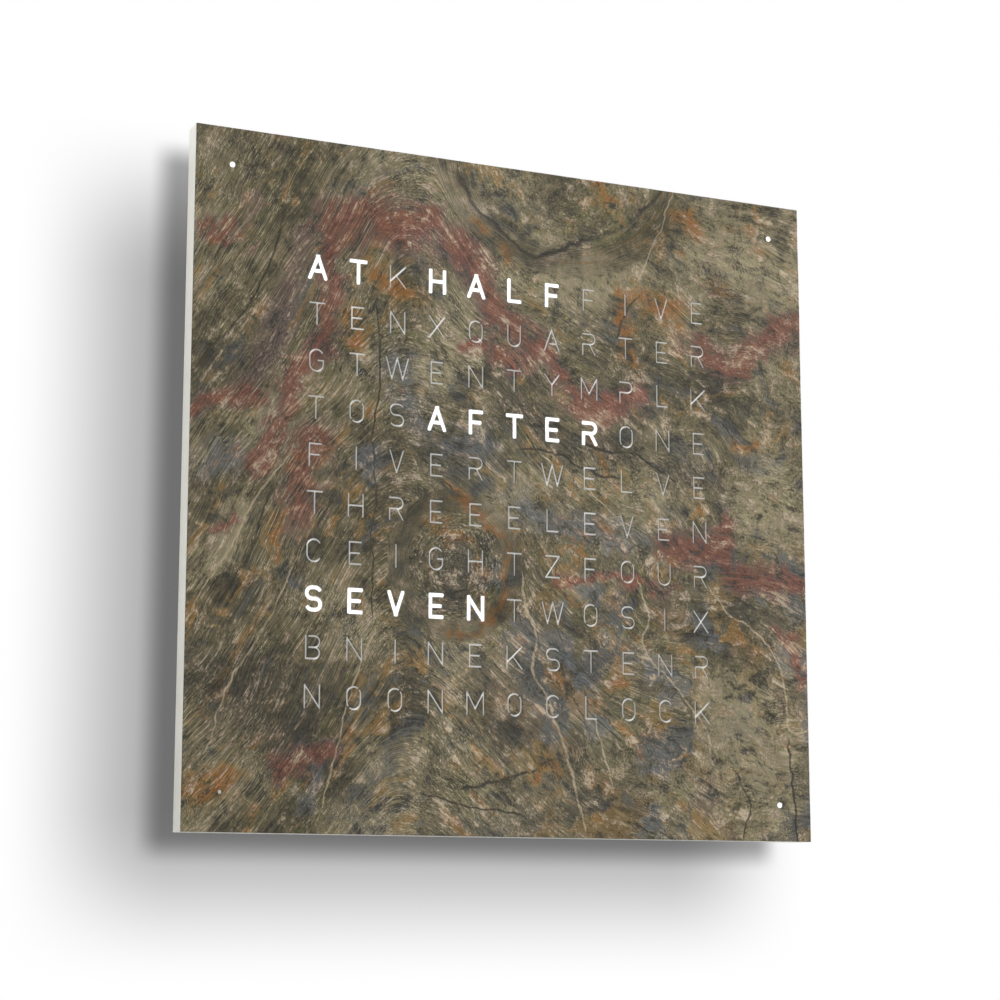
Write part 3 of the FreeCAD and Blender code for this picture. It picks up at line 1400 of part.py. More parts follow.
# Leads between the boards. They lie at the middle height of the connectors.
def build_leads():
    diameter = size("lead_diameter")
    lead_depth = value(board_front + " + Sizes.connector_height / 2")
    half_connector = size("connector_length") / 2

    def at(x, z):
        return FreeCAD.Vector(x, -lead_depth, z)

    jumpers = []
    for x, upper, lower in jumper_places:
        side = 1 if value(x) > 0 else -1
        top = value(upper) - half_connector
        low = value(lower) + half_connector
        slack = side * size("connector_width")
        span = top - low
        jumpers.append(lead_tube("row_jumper_leads", [
            at(value(x), top),
            at(value(x), top - span * 0.2),
            at(value(x) + slack, top - span * 0.4),
            at(value(x) + slack, top - span * 0.6),
            at(value(x), top - span * 0.8),
            at(value(x), low),
        ], diameter))
    add_feature("row_jumper_leads", Part.makeCompound(jumpers))

    control_left = value("Sizes.control_x - %s - Sizes.connector_width / 2" % control_connector_x)
    control_right = value("Sizes.control_x + %s + Sizes.connector_width / 2" % control_connector_x)
    high = value("%s + %s" % (control_z, control_connector_pitch))
    middle = value(control_z)
    low = value("%s - %s" % (control_z, control_connector_pitch))
    baffle_low = -value(baffle_height) / 2
    upper_lane = baffle_low - 20
    lower_lane = baffle_low - 31
    board_end = value(connector_x)
    feed_z = value(data_feed_z) - half_connector
    data_tube = lead_tube("led_data_lead", [
        at(control_left, high),
        at(control_left - 34, high),
        at(control_left - 52, upper_lane),
        at(-board_end + 30, upper_lane),
        at(-board_end, upper_lane + 22),
        at(-board_end, feed_z),
    ], diameter)
    add_feature("led_data_lead", data_tube)

    corner_x = abs(value(minute_connector_places[0][0]))
    corner_low = value(minute_connector_places[0][1]) + half_connector
    corner_high = value(minute_connector_places[2][1]) - half_connector
    top_z = value(top_feed_z) + half_connector
    minute_tubes = [
        lead_tube("minute_leads", [
            at(control_left, middle),
            at(control_left - 36, middle),
            at(control_left - 66, lower_lane - 8),
            at(-corner_x, lower_lane - 8),
            at(-corner_x, corner_low),
        ], diameter),
        lead_tube("minute_leads", [
            at(control_right, middle),
            at(control_right + 36, middle),
            at(control_right + 62, lower_lane),
            at(corner_x, lower_lane),
            at(corner_x, corner_low),
        ], diameter),
    ]
    for side in (-1, 1):
        minute_tubes.append(lead_tube("minute_leads", [
            at(side * board_end, top_z),
            at(side * board_end, top_z + 28),
            at(side * (board_end + 20), top_z + 50),
            at(side * (corner_x - 14), top_z + 50),
            at(side * corner_x, top_z + 66),
            at(side * corner_x, corner_high),
        ], diameter))
    add_feature("minute_leads", Part.makeCompound(minute_tubes))

    coil_z = value(antenna_z) - size("coil_diameter") / 2 - size("lead_clearance")
    antenna_tube = lead_tube("antenna_lead", [
        at(control_left, low),
        at(control_left - 44, low),
        at(control_left - 70, coil_z - 20),
        at(size("antenna_x") + 22, coil_z - 20),
        at(size("antenna_x"), coil_z - 12),
        at(size("antenna_x"), coil_z),
    ], diameter)
    add_feature("antenna_lead", antenna_tube)

    jack_end = value("Sizes.cup_x - Sizes.cup_width / 2 - Sizes.jack_length")
    jack_z = value(cup_z)
    inlet_tube = lead_tube("inlet_lead", [
        at(control_right, low),
        at(control_right + 34, low),
        at(control_right + 58, jack_z),
        at(jack_end, jack_z),
    ], diameter)
    add_feature("inlet_lead", inlet_tube)

    board_x = value(button_board_back)
    board_low = value("Sizes.button_z - Sizes.button_spacing * 2.3")
    button_tube = lead_tube("button_lead", [
        at(control_right, high),
        at(control_right + 34, high),
        at(control_right + 54, upper_lane),
        at(board_x - 54, upper_lane),
        at(board_x - 26, board_low),
        at(board_x, board_low),
    ], diameter)
    add_feature("button_lead", button_tube)


build_stone_front()
build_cover_carrier()
build_strike_plates()
build_locating_pins()
build_body_frame()
build_holding_magnets()
build_pin_bushes()
build_back_panel()
build_hanging_plates()
build_diffuser_sheet()
build_light_baffle()
build_baffle_posts()
build_row_led_boards()
build_letter_leds()
build_minute_light_tubes()
build_minute_led_boards()
build_minute_leds()
build_led_connectors()
build_board_spacers()
build_control_board()
build_control_parts()
build_backup_cell()
build_antenna()
build_inlet()
build_button_board()
build_button_caps()
build_button_springs()
build_screws()
build_leads()
doc.recompute()

# Nothing is written unless every object and every solid is sound
for item in doc.Objects:
    if "Invalid" in item.State or "Error" in item.State:
        raise RuntimeError(item.Label + " did not compute")
    if item.TypeId == "PartDesign::Pocket" and item.BaseFeature:
        if item.Shape.Volume > item.BaseFeature.Shape.Volume - 0.01:
            raise RuntimeError(item.Label + " cuts nothing")
for part in sub_parts:
    if part.Shape.isNull() or not part.Shape.isValid() or not part.Shape.Solids:
        raise RuntimeError(part.Label + " has no sound solid")

os.makedirs("parts", exist_ok=True)
for part in sub_parts:
    part.Shape.exportStep("parts/" + part.Label + ".step")
print("%d sub-parts written" % len(sub_parts))
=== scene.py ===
import json
import math

import bpy
import numpy as np
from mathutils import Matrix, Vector
from mathutils.kdtree import KDTree

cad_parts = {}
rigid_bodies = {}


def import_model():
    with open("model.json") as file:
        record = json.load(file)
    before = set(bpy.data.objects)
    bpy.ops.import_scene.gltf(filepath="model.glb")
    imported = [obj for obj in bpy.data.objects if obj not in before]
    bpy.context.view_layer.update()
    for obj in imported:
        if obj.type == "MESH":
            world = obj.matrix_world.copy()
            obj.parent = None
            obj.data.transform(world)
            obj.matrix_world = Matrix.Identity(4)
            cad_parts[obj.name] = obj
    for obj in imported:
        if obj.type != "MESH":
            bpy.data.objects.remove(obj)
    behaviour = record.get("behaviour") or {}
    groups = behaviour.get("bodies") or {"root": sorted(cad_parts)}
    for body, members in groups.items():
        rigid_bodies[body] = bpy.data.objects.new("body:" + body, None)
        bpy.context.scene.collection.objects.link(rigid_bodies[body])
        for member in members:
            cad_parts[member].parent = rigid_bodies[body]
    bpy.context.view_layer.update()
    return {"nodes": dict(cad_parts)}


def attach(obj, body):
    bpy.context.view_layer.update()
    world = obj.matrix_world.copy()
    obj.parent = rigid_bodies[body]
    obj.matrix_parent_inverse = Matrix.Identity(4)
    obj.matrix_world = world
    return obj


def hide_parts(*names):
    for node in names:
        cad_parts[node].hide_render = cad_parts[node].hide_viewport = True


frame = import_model()
nodes = frame["nodes"]
print("frame loaded:", len(nodes), "pieces")


def linear(level):
    level = level / 255
    return level / 12.92 if level <= 0.04045 else ((level + 0.055) / 1.055) ** 2.4


def tone(colour):  # a colour as it looks, 0 to 255, becomes what a shader takes
    return (linear(colour[0]), linear(colour[1]), linear(colour[2]), 1.0)


black = (0, 0, 0)
white = (255, 255, 255)


class Signal:  # a value that runs through a material, so that sums on it read as plain sums
    def __init__(self, recipe, socket):
        self.recipe = recipe
        self.socket = socket

    def work(self, operation, *others):
        return self.recipe.maths(operation, self, *others)

    def __add__(self, other):
        return self.work("ADD", other)

    def __sub__(self, other):
        return self.work("SUBTRACT", other)

    def __rsub__(self, other):
        return self.recipe.maths("SUBTRACT", other, self)

    def __mul__(self, other):
        return self.work("MULTIPLY", other)

    def __pow__(self, other):
        return self.work("POWER", other)

    def __abs__(self):
        return self.work("ABSOLUTE")

    __radd__ = __add__
    __rmul__ = __mul__

    def above(self, other):
        return self.work("MAXIMUM", other)

    def near(self, middle, reach):  # 1 where the value is within reach of the middle
        return self.work("COMPARE", middle, reach)

    def rise(self, low, high, start=0.0, end=1.0):  # smooth change from start to end
        return self.recipe.node("ShaderNodeMapRange", {"interpolation_type": "SMOOTHSTEP"},
                                {"Value": self, 1: low, 2: high, 3: start, 4: end})


class Recipe:  # one material, or the world's light
    def __init__(self, name, world=False):
        self.made = (bpy.data.worlds if world else bpy.data.materials).new(name)
        self.made.use_nodes = True
        self.tree = self.made.node_tree
        self.tree.nodes.clear()
        self.output = "ShaderNodeOutputWorld" if world else "ShaderNodeOutputMaterial"
        self.place = None if world else self.node("ShaderNodeTexCoord", output="Object")

    def node(self, kind, settings=None, inputs=None, output=0):
        made = self.tree.nodes.new(kind)
        for name, value in (settings or {}).items():
            if name == "stops":
                self.paintRamp(made.color_ramp.elements, value)
            else:
                setattr(made, name, value)
        for name, value in (inputs or {}).items():
            if isinstance(value, Signal):
                self.tree.links.new(value.socket, made.inputs[name])
            else:
                made.inputs[name].default_value = value
        return Signal(self, made.outputs[output]) if len(made.outputs) else None

    def paintRamp(self, elements, stops):
        for number, (at, colour) in enumerate(stops):
            stop = elements[number] if number < 2 else elements.new(at)
            stop.position = at
            stop.color = tone(colour)

    def maths(self, operation, *values):
        return self.node("ShaderNodeMath", {"operation": operation}, dict(enumerate(values)))

    def noise(self, vector, scale, detail=4.0, roughness=0.55, distortion=0.0):
        inputs = {"Vector": vector, "Scale": scale, "Detail": detail, "Roughness": roughness}
        return self.node("ShaderNodeTexNoise", None, {**inputs, "Distortion": distortion})

    def cells(self, vector, scale, feature="F1", output="Distance"):
        inputs = {"Vector": vector, "Scale": scale}
        return self.node("ShaderNodeTexVoronoi", {"feature": feature}, inputs, output)

    def blend(self, factor, first, second):
        first = tone(first) if isinstance(first, tuple) else first
        second = tone(second) if isinstance(second, tuple) else second
        return self.node("ShaderNodeMix", {"data_type": "RGBA"}, {0: factor, 6: first, 7: second}, 2)

    def stretch(self, source, scale, turn=(0, 0, 0)):
        return self.node("ShaderNodeMapping", None, {"Vector": source, "Rotation": turn, "Scale": scale})

    def apart(self, vector):
        split = self.node("ShaderNodeSeparateXYZ", None, {0: vector}).socket.node
        return [Signal(self, split.outputs[number]) for number in range(3)]

    def attribute(self, name, output="Fac"):
        return self.node("ShaderNodeAttribute", {"attribute_name": name}, None, output)

    def bump(self, height, distance):
        return self.node("ShaderNodeBump", None, {"Height": height, "Distance": distance, "Strength": 1.0})

    def surface(self, inputs):
        return self.node("ShaderNodeBsdfPrincipled", None, inputs)

    def seen(self):  # 1 for the rays that meet the eye straight, off a mirror or through glass
        straight, mirrored, through = (self.node("ShaderNodeLightPath", output="Is %s Ray" % way)
                                       for way in ("Camera", "Glossy", "Transmission"))
        return straight.above(mirrored).above(through)

    def done(self, shader):
        self.node(self.output, None, {"Surface": shader})
        return self.made


def deselectAll():
    for each in bpy.context.view_layer.objects:
        each.select_set(False)


def pick(piece):
    deselectAll()
    piece.select_set(True)
    bpy.context.view_layer.objects.active = piece


def settle(piece):  # place, turn and size go into the mesh
    pick(piece)
    bpy.ops.object.transform_apply(location=True, rotation=True, scale=True)


def points(piece):
    flat = np.empty(len(piece.data.vertices) * 3)
    piece.data.vertices.foreach_get("co", flat)
    return flat.reshape(-1, 3)


# letters: which cells are lit and where they are
letterField = {
    "across": 11,
    "down": 10,
    "stepX": 0.0564,
    "stepZ": 0.06195,
    "dotPlace": 0.401,
    "dotReach": 0.012,
    "litRuns": [(0, 0, 1), (0, 3, 6), (3, 3, 7), (7, 0, 4)],  # row, first and last place in it
    "litDots": [(-1, 1), (1, 1), (1, -1)],
}


def litBoxes():  # middle and reach of each lit area, across and up
    boxes = []
    stepX, stepZ = letterField["stepX"], letterField["stepZ"]
    for row, first, last in letterField["litRuns"]:
        left = (first - letterField["across"] / 2) * stepX
        right = (last + 1 - letterField["across"] / 2) * stepX
        middleZ = (letterField["down"] / 2 - 0.5 - row) * stepZ
        boxes.append(((left + right) / 2, middleZ, (right - left) / 2, stepZ / 2))
    place, reach = letterField["dotPlace"], letterField["dotReach"]
    for signX, signZ in letterField["litDots"]:
        boxes.append((signX * place, signZ * place, reach, reach))
    return boxes


def litShare(recipe):
    x, y, z = recipe.apart(recipe.place)
    share = None
    for middleX, middleZ, reachX, reachZ in litBoxes():
        here = x.near(middleX, reachX) * z.near(middleZ, reachZ)
        share = here if share is None else share + here
    return share


# finishes of the carried-over pieces
finishLooks = {
    "housing": {"colour": (231, 230, 222), "shade": (227, 225, 216),
                "grain": 700, "depth": 0.00003, "rough": 0.42},
    "panel": {"colour": (223, 221, 212), "shade": (219, 217, 208),
              "grain": 500, "depth": 0.00005, "rough": 0.6},
    "cap": {"colour": (230, 229, 221), "shade": (225, 223, 214),
            "grain": 1500, "depth": 0.00002, "rough": 0.45},
    "baffle": {"colour": (240, 240, 238), "shade": (230, 230, 227),
               "grain": 900, "depth": 0.0001, "rough": 0.8},
    "spacer": {"colour": (236, 234, 226), "shade": (226, 223, 212),
               "grain": 900, "depth": 0.00002, "rough": 0.5},
    "connector": {"colour": (238, 233, 216), "shade": (228, 221, 200),
                  "grain": 900, "depth": 0.00002, "rough": 0.5},
    "chip": {"colour": (44, 44, 45), "shade": (34, 34, 35), "grain": 2500, "depth": 0.00003, "rough": 0.6},
    "ferrite": {"colour": (70, 68, 67), "shade": (56, 54, 53),
                "grain": 1800, "depth": 0.00006, "rough": 0.7},
    "black_plastic": {"colour": (50, 50, 50), "shade": (41, 41, 41),
                      "grain": 1800, "depth": 0.00003, "rough": 0.5},
    "lead": {"colour": (52, 52, 54), "shade": (42, 42, 44), "grain": 1200, "depth": 0.00003, "rough": 0.6},
}
metalLooks = {
    "steel": {"colour": (205, 205, 207), "shade": (178, 179, 183), "lay": (30, 900, 900), "rough": 0.32},
    "magnet": {"colour": (221, 219, 214), "shade": (200, 198, 193), "lay": (300, 300, 300), "rough": 0.2},
    "bush": {"colour": (226, 196, 128), "shade": (204, 170, 100), "lay": (900, 120, 900), "rough": 0.3},
    "can": {"colour": (216, 216, 218), "shade": (196, 196, 199), "lay": (400, 400, 60), "rough": 0.35},
}
boardLooks = {
    "board": {"mask": (237, 239, 236), "track": (246, 247, 245), "hole": (214, 212, 200), "rough": 0.35},
    "control_board": {"mask": (26, 104, 58), "track": (48, 128, 76), "hole": (198, 178, 120), "rough": 0.3},
}
windingLook = {"colour": (196, 112, 66), "shade": (120, 58, 34), "turnsPerMetre": 2600, "rough": 0.35}
ledLook = {"body": (246, 245, 240), "phosphor": (238, 218, 120), "lens": 0.0017, "rough": 0.4, "glow": 2.0}
# rest is the share of the lamps' light that reaches the cells that aren't lit
diffuserLook = {"colour": (238, 237, 232), "shade": (232, 231, 226), "dust": (214, 212, 204), "rough": 0.5,
                "rest": 0.02, "glow": 1.5}
coverLook = {"colour": (238, 237, 232), "rim": (231, 230, 222), "rimFrom": 0.4485, "rimTo": 0.449,
             "dust": (214, 212, 204), "rough": 0.5, "rest": 0.03, "glow": 5.0}
windowLook = {"colour": (96, 94, 94), "shade": (82, 80, 80), "rough": 0.12}


def mouldedFinish(name, look):  # lacquer, moulded plastic and rubber
    recipe = Recipe(name)
    cloud = recipe.noise(recipe.place, 14, 5, 0.6)
    grain = recipe.noise(recipe.place, look["grain"], 2, 0.5)
    return recipe.done(recipe.surface({
        "Base Color": recipe.blend(cloud.rise(0.35, 0.65), look["colour"], look["shade"]),
        "Roughness": look["rough"] + (cloud - 0.5) * 0.12,
        "Normal": recipe.bump(grain + cloud * 0.4, look["depth"]),
    }))


def metalFinish(name, look):
    recipe = Recipe(name)
    lay = recipe.noise(recipe.stretch(recipe.place, look["lay"]), 1, 3, 0.6)
    cloud = recipe.noise(recipe.place, 60, 4)
    return recipe.done(recipe.surface({
        "Base Color": recipe.blend((lay * 0.6 + cloud * 0.4).rise(0.3, 0.7), look["colour"], look["shade"]),
        "Metallic": 1.0,
        "Roughness": look["rough"] + (lay - 0.5) * 0.3,
        "Normal": recipe.bump(lay, 0.00002),
    }))


def boardFinish(name, look):  # solder mask over tracks, with small plated holes
    recipe = Recipe(name)
    turned = recipe.stretch(recipe.place, (1, 1, 1), (math.pi / 2, 0, 0))
    tracks = recipe.node("ShaderNodeTexBrick", {"offset": 0.37, "squash": 0.6, "squash_frequency": 3}, {
        "Vector": turned, "Color1": tone(white), "Color2": tone(white), "Mortar": tone(black),
        "Scale": 1.0, "Mortar Size": 0.0004, "Brick Width": 0.019, "Row Height": 0.0043}, "Fac")
    holes = recipe.cells(turned, 130).rise(0.07, 0.05)
    weave = recipe.noise(recipe.stretch(recipe.place, (900, 900, 900)), 1, 2)
    masked = recipe.blend(tracks, look["mask"], look["track"])
    return recipe.done(recipe.surface({
        "Base Color": recipe.blend(holes, masked, look["hole"]),
        "Roughness": look["rough"] + weave * 0.1,
        "Normal": recipe.bump(tracks * 0.6 + weave * 0.3 - holes, 0.00004),
    }))


def windingFinish(name, look):
    recipe = Recipe(name)
    x = recipe.apart(recipe.place)[0]
    turns = (x * (look["turnsPerMetre"] * 2 * math.pi)).work("SINE")
    wander = recipe.noise(recipe.place, 90, 3)
    return recipe.done(recipe.surface({
        # darker towards the shade colour between the turns: painted shade in the grooves, with random tone
        # from wander
        "Base Color": recipe.blend((turns * 0.35 + wander).rise(0.2, 0.9), look["shade"], look["colour"]),
        "Metallic": 0.7,
        "Roughness": look["rough"] + wander * 0.15,
        "Normal": recipe.bump(turns, 0.00008),
    }))


def ledFinish(name, look):  # white body with a round yellow window in the middle of each cell
    recipe = Recipe(name)
    x, y, z = recipe.apart(recipe.place)
    stepX, stepZ = letterField["stepX"], letterField["stepZ"]
    offX = x.work("PINGPONG", stepX / 2)
    offZ = (z - stepZ / 2).work("PINGPONG", stepZ / 2)
    lens = (offX * offX + offZ * offZ).work("SQRT").rise(look["lens"] * 1.1, look["lens"])
    grain = recipe.noise(recipe.place, 1500, 2)
    shade = recipe.blend(lens, look["body"], look["phosphor"])
    return recipe.done(recipe.surface({
        "Base Color": recipe.blend(grain.rise(0.3, 0.8, 0.0, 0.12), shade, (205, 200, 186)),
        "Roughness": look["rough"] + grain * 0.2,
        "Emission Color": recipe.blend(litShare(recipe), black, white),
        "Emission Strength": look["glow"],
        "Normal": recipe.bump(grain - lens, 0.00003),
    }))


def opalFinish(name, look):  # lets the lamps through where letters are lit; the cover's rim matches the frame
    recipe = Recipe(name)
    cloud = recipe.noise(recipe.place, 30, 4)
    grain = recipe.noise(recipe.place, 1400, 2)
    x, y, z = recipe.apart(recipe.place)
    glow = litShare(recipe) * (1 - look["rest"]) + look["rest"]
    if "rim" in look:
        rim = abs(x).above(abs(z)).rise(look["rimFrom"], look["rimTo"])
        glow = glow * (1 - rim)
        base = recipe.blend(rim, look["colour"], look["rim"])
    else:
        base = recipe.blend(cloud.rise(0.3, 0.7), look["colour"], look["shade"])
    return recipe.done(recipe.surface({
        "Base Color": recipe.blend(cloud.rise(0.3, 0.7, 0.0, 0.08), base, look["dust"]),
        "Roughness": look["rough"] + (grain - 0.5) * 0.15,
        "Emission Color": recipe.blend(glow, black, white),
        "Emission Strength": look["glow"],
        "Normal": recipe.bump(grain, 0.00002),
    }))


def windowFinish(name, look):
    recipe = Recipe(name)
    cloud = recipe.noise(recipe.place, 200, 3)
    return recipe.done(recipe.surface({
        "Base Color": recipe.blend(cloud.rise(0.3, 0.7), look["colour"], look["shade"]),
        "Roughness": look["rough"] + cloud * 0.08,
        "Transmission Weight": 0.7,
        "IOR": 1.49,
        "Normal": recipe.bump(cloud, 0.00001),
    }))


finishes = {
    "winding": windingFinish("windingFinish", windingLook),
    "led": ledFinish("ledFinish", ledLook),
    "opal": opalFinish("diffuserFinish", diffuserLook),
    "window": windowFinish("windowFinish", windowLook),
}
for makeFinish, looks in ((mouldedFinish, finishLooks), (metalFinish, metalLooks), (boardFinish, boardLooks)):
    for slotName, look in looks.items():
        finishes[slotName] = makeFinish(slotName + "Finish", look)
for piece in nodes.values():
    for part in piece.material_slots:
        if part.material.name in finishes:
            part.material = finishes[part.material.name]
nodes["cover_carrier"].material_slots[0].material = opalFinish("coverFinish", coverLook)
print("finishes given to the carried-over pieces")


# the stone: a cleft slab, worked on a fine grid, then cut to the plate's outline, letters and dots
stoneLook = {
    "side": 0.906,
    "gridLines": 200,
    "front": -0.031,
    "thickness": 0.002,
    "fineReach": 0.0045,  # how far round a lit letter the grid is finer
    "glowReach": 0.008,
    "deepest": 0.0009,
    "cutLonger": 4,
    "smoothAngle": 40,
    "stainWander": 15,  # mm by which stains and lines stray from their courses
    "lineWander": 3.5,
}
# courses on the stone in mm from the middle, across and up, each after its half width
stains = {
    "redStain": [
        (30, [(-258, 342), (-190, 356), (-130, 352)]),
        (21, [(-130, 365), (-100, 340), (-65, 310), (-30, 270), (0, 235), (25, 200)]),
        (15, [(25, 200), (50, 170), (80, 140), (120, 130), (165, 135), (195, 150)]),
        (13, [(-260, 330), (-255, 270), (-265, 220), (-280, 180), (-305, 140), (-330, 90), (-350, 40),
              (-355, 0)]),
        (22, [(-300, 45), (-290, 0), (-300, -50)]),
        (9, [(-450, 308), (-420, 310), (-392, 300)]),
        (13, [(-442, 66), (-405, 95), (-370, 112)]),
        (6, [(-430, -75), (-395, -65)]),
        (16, [(285, 240), (320, 205), (350, 200), (380, 240), (420, 265), (452, 275)]),
        (15, [(240, -55), (290, -65), (325, -35), (330, -80), (370, -90), (447, -95)]),
        (6, [(60, -115), (145, -110), (195, -105), (245, -95)]),
        (7, [(395, -155), (420, -195), (440, -230)]),
        (11, [(-330, -385), (-290, -358), (-252, -345)]),
        (10, [(-70, 190), (-40, 205), (-10, 180)]),
    ],
    "orangeStain": [
        (6, [(-105, -2), (-65, -20), (-35, -45), (-10, -80), (-2, -115), (-10, -145), (-40, -175),
             (-85, -190)]),
        (17, [(150, -238), (162, -244)]),
        (13, [(138, 434), (146, 418)]),
        (14, [(268, 410), (274, 388)]),
        (10, [(-54, 358), (-44, 350)]),
        (11, [(-14, 344), (-4, 336)]),
        (17, [(-198, 272), (-168, 264)]),
        (13, [(-236, 206), (-226, 196)]),
        (11, [(30, -372), (52, -366)]),
        (10, [(-228, -322), (-220, -312)]),
        (15, [(-436, -398), (-400, -392)]),
        (12, [(-250, 330), (-262, 290)]),
        (20, [(206, 282), (250, 274)]),
        (11, [(180, 284), (168, 240), (172, 200)]),
        (8, [(-330, -60), (-345, -100)]),
        (9, [(330, 110), (380, 100)]),
    ],
    "blueStain": [
        (34, [(-175, 150), (-150, 105)]),
        (17, [(-215, 30), (-208, 10)]),
        (32, [(-110, 60), (-50, 50)]),
        (27, [(25, -22), (95, -30), (165, -38)]),
        (12, [(65, -145), (70, -222)]),
        (13, [(90, -240), (102, -252)]),
        (20, [(212, -205), (226, -236)]),
        (11, [(-262, -338), (-290, -425)]),
        (14, [(-335, -126), (-300, -134)]),
        (22, [(-430, 6), (-392, 22)]),
        (22, [(188, -350), (212, -352)]),
        (16, [(-140, 330), (-120, 336)]),
    ],
    "plumStain": [
        (22, [(-296, 318), (-318, 250), (-340, 180), (-362, 140)]),
        (14, [(-250, 300), (-262, 240)]),
        (12, [(-385, 330), (-372, 360)]),
        (16, [(-112, 322), (-60, 290), (-20, 240)]),
    ],
    "darkStain": [
        (22, [(-15, 112), (60, 88), (140, 62), (225, 56), (300, 50)]),
        (70, [(-380, -270), (-330, -330)]),
        (52, [(-100, -92), (-72, -106)]),
        # painted shade: this course darkens along the rim of the round hollow at the top edge
        (10, [(-60, 392), (0, 348), (32, 330), (72, 343), (116, 364)]),
        (16, [(300, 330), (340, 300)]),
        (14, [(-330, 200), (-380, 120)]),
    ],
    "paleStain": [
        (75, [(330, 390), (400, 330)]),
        (80, [(330, -270), (370, -350)]),
        (24, [(-430, -120), (-380, -40)]),
        (40, [(60, 300), (140, 310)]),
        (35, [(350, 20), (420, 0)]),
    ],
}
lightVeins = [
    (1.1, [(15, -115), (20, -155), (30, -200), (25, -235), (45, -265), (60, -305), (75, -350), (90, -400),
           (102, -436)]),
    (1.0, [(185, -110), (200, -150), (190, -185), (210, -215), (240, -245), (260, -270), (290, -300),
           (298, -345)]),
    (0.8, [(120, -290), (128, -340), (140, -380)]),
    (0.9, [(300, -115), (330, -145), (370, -165), (400, -205), (415, -255), (420, -300), (447, -295)]),
    (0.6, [(30, 65), (85, 35), (160, -25), (182, -52)]),
    (0.9, [(-450, -195), (-405, -110), (-365, -40), (-315, 30)]),
    (0.8, [(-265, -415), (-245, -330), (-220, -245), (-195, -190)]),
    (0.7, [(-420, -350), (-380, -250), (-335, -170), (-300, -95)]),
    (0.7, [(245, 445), (232, 400), (205, 350), (188, 315)]),
]
darkCracks = [
    (1.6, [(-80, 440), (-78, 425), (-60, 395), (-30, 370), (0, 350), (30, 332), (70, 345), (115, 365),
           (160, 385), (210, 425), (225, 447)]),
    (0.9, [(155, 230), (175, 270), (190, 290)]),
    (0.7, [(-200, 230), (-195, 150), (-205, 60), (-198, -20), (-204, -100), (-200, -170)]),
    (1.1, [(-70, -390), (-20, -378), (20, -365), (60, -350)]),
    (0.8, [(-448, 128), (-420, 160), (-380, 210), (-355, 265), (-325, 355), (-290, 430)]),
    (0.9, [(420, -318), (424, -380), (428, -448)]),
    (1.2, [(-15, 100), (30, 92), (75, 96), (120, 72), (170, 70), (215, 52)]),
    (0.8, [(10, 60), (60, 62), (110, 40), (150, 36)]),
    (0.7, [(-130, -400), (-60, -412), (10, -425)]),
    (0.7, [(330, -360), (350, -395), (345, -440)]),
    (0.7, [(-340, -20), (-370, -100), (-415, -180)]),
]


def rounded(line):  # a smooth curve through the points
    line = np.array(line, float)
    padded = np.vstack([2 * line[0] - line[1], line, 2 * line[-1] - line[-2]])
    curve = []
    for number in range(len(line) - 1):
        before, start, end, after = padded[number:number + 4]
        for step in np.linspace(0, 1, 5)[:-1]:
            curve.append(0.5 * (2 * start + (end - before) * step
                                + (2 * before - 5 * start + 4 * end - after) * step ** 2
                                + (3 * start - before - 3 * end + after) * step ** 3))
    curve.append(line[-1])
    return np.array(curve)


def sideways(spots, line):  # distance from a line in mm, with its sign from the side
    curve = rounded(line)
    best = np.full(len(spots), 1e9)
    sign = np.ones(len(spots))
    low, high = curve.min(0) - 60, curve.max(0) + 60
    close = np.nonzero(((spots > low) & (spots < high)).all(1))[0]
    near = spots[close]
    for start, end in zip(curve[:-1], curve[1:]):
        run = end - start
        along = np.clip(((near - start) @ run) / (run @ run), 0, 1)
        gap = near - start - along[:, None] * run
        far = np.hypot(gap[:, 0], gap[:, 1])
        closer = far < best[close]
        turn = run[0] * gap[:, 1] - run[1] * gap[:, 0]
        sign[close[closer]] = np.sign(turn[closer]) + (turn[closer] == 0)
        best[close[closer]] = far[closer]
    return best, sign


def wandered(spots, reach):  # places moved about, so that drawn lines come out uneven
    x, z = spots[:, 0], spots[:, 1]
    acrossBy = noiseAt(x, z, 58, 21, 4) + 0.4 * noiseAt(x, z, 14, 23)
    upBy = noiseAt(x, z, 58, 22, 4) + 0.4 * noiseAt(x, z, 14, 24)
    return spots + reach * np.column_stack([acrossBy, upBy])


def stainOf(spots, lines):  # 1 on a stain's line, 0 at its edge, -1 far away
    share = np.full(len(spots), -1.0)
    for reach, line in lines:
        far, sign = sideways(spots, line)
        share = np.maximum(share, 1 - far / reach)
    return np.clip(share, -1, 1)


lineReach = 9.0  # mm from a vein or a crack at which it's out of sight
lineFade = 2.0  # mm over which it fades there
widthsAway = 12


def linesOf(spots, lines):  # signed distance to the nearest line in half widths, and how much it shows
    side = np.full(len(spots), lineReach)
    show = np.zeros(len(spots))
    nearest = np.full(len(spots), 1e9)
    for halfWidth, line in lines:
        far, sign = sideways(spots, line)
        closer = far < nearest
        nearest[closer] = far[closer]
        side[closer] = (sign * far)[closer] / halfWidth
        show[closer] = np.clip((lineReach - far[closer]) / lineFade, 0, 1)
    return np.clip(side, -widthsAway, widthsAway), show


def noiseAt(x, z, size, seed, octaves=3):  # soft noise from -1 to 1, the same on every run
    table = np.random.default_rng(seed).uniform(-1, 1, (256, 256))
    total = np.zeros(len(x))
    for octave in range(octaves):
        a = x / size * 2.1 ** octave + 37.3 * octave
        b = z / size * 2.1 ** octave + 11.7 * octave
        i, j = np.floor(a).astype(int), np.floor(b).astype(int)
        u, v = a - i, b - j
        u, v = u ** 3 * (u * (6 * u - 15) + 10), v ** 3 * (v * (6 * v - 15) + 10)
        i, j, k, m = i & 255, j & 255, (i + 1) & 255, (j + 1) & 255
        low = table[i, j] * (1 - u) + table[k, j] * u
        high = table[i, m] * (1 - u) + table[k, m] * u
        total += (low * (1 - v) + high * v) * 0.52 ** octave
    return total


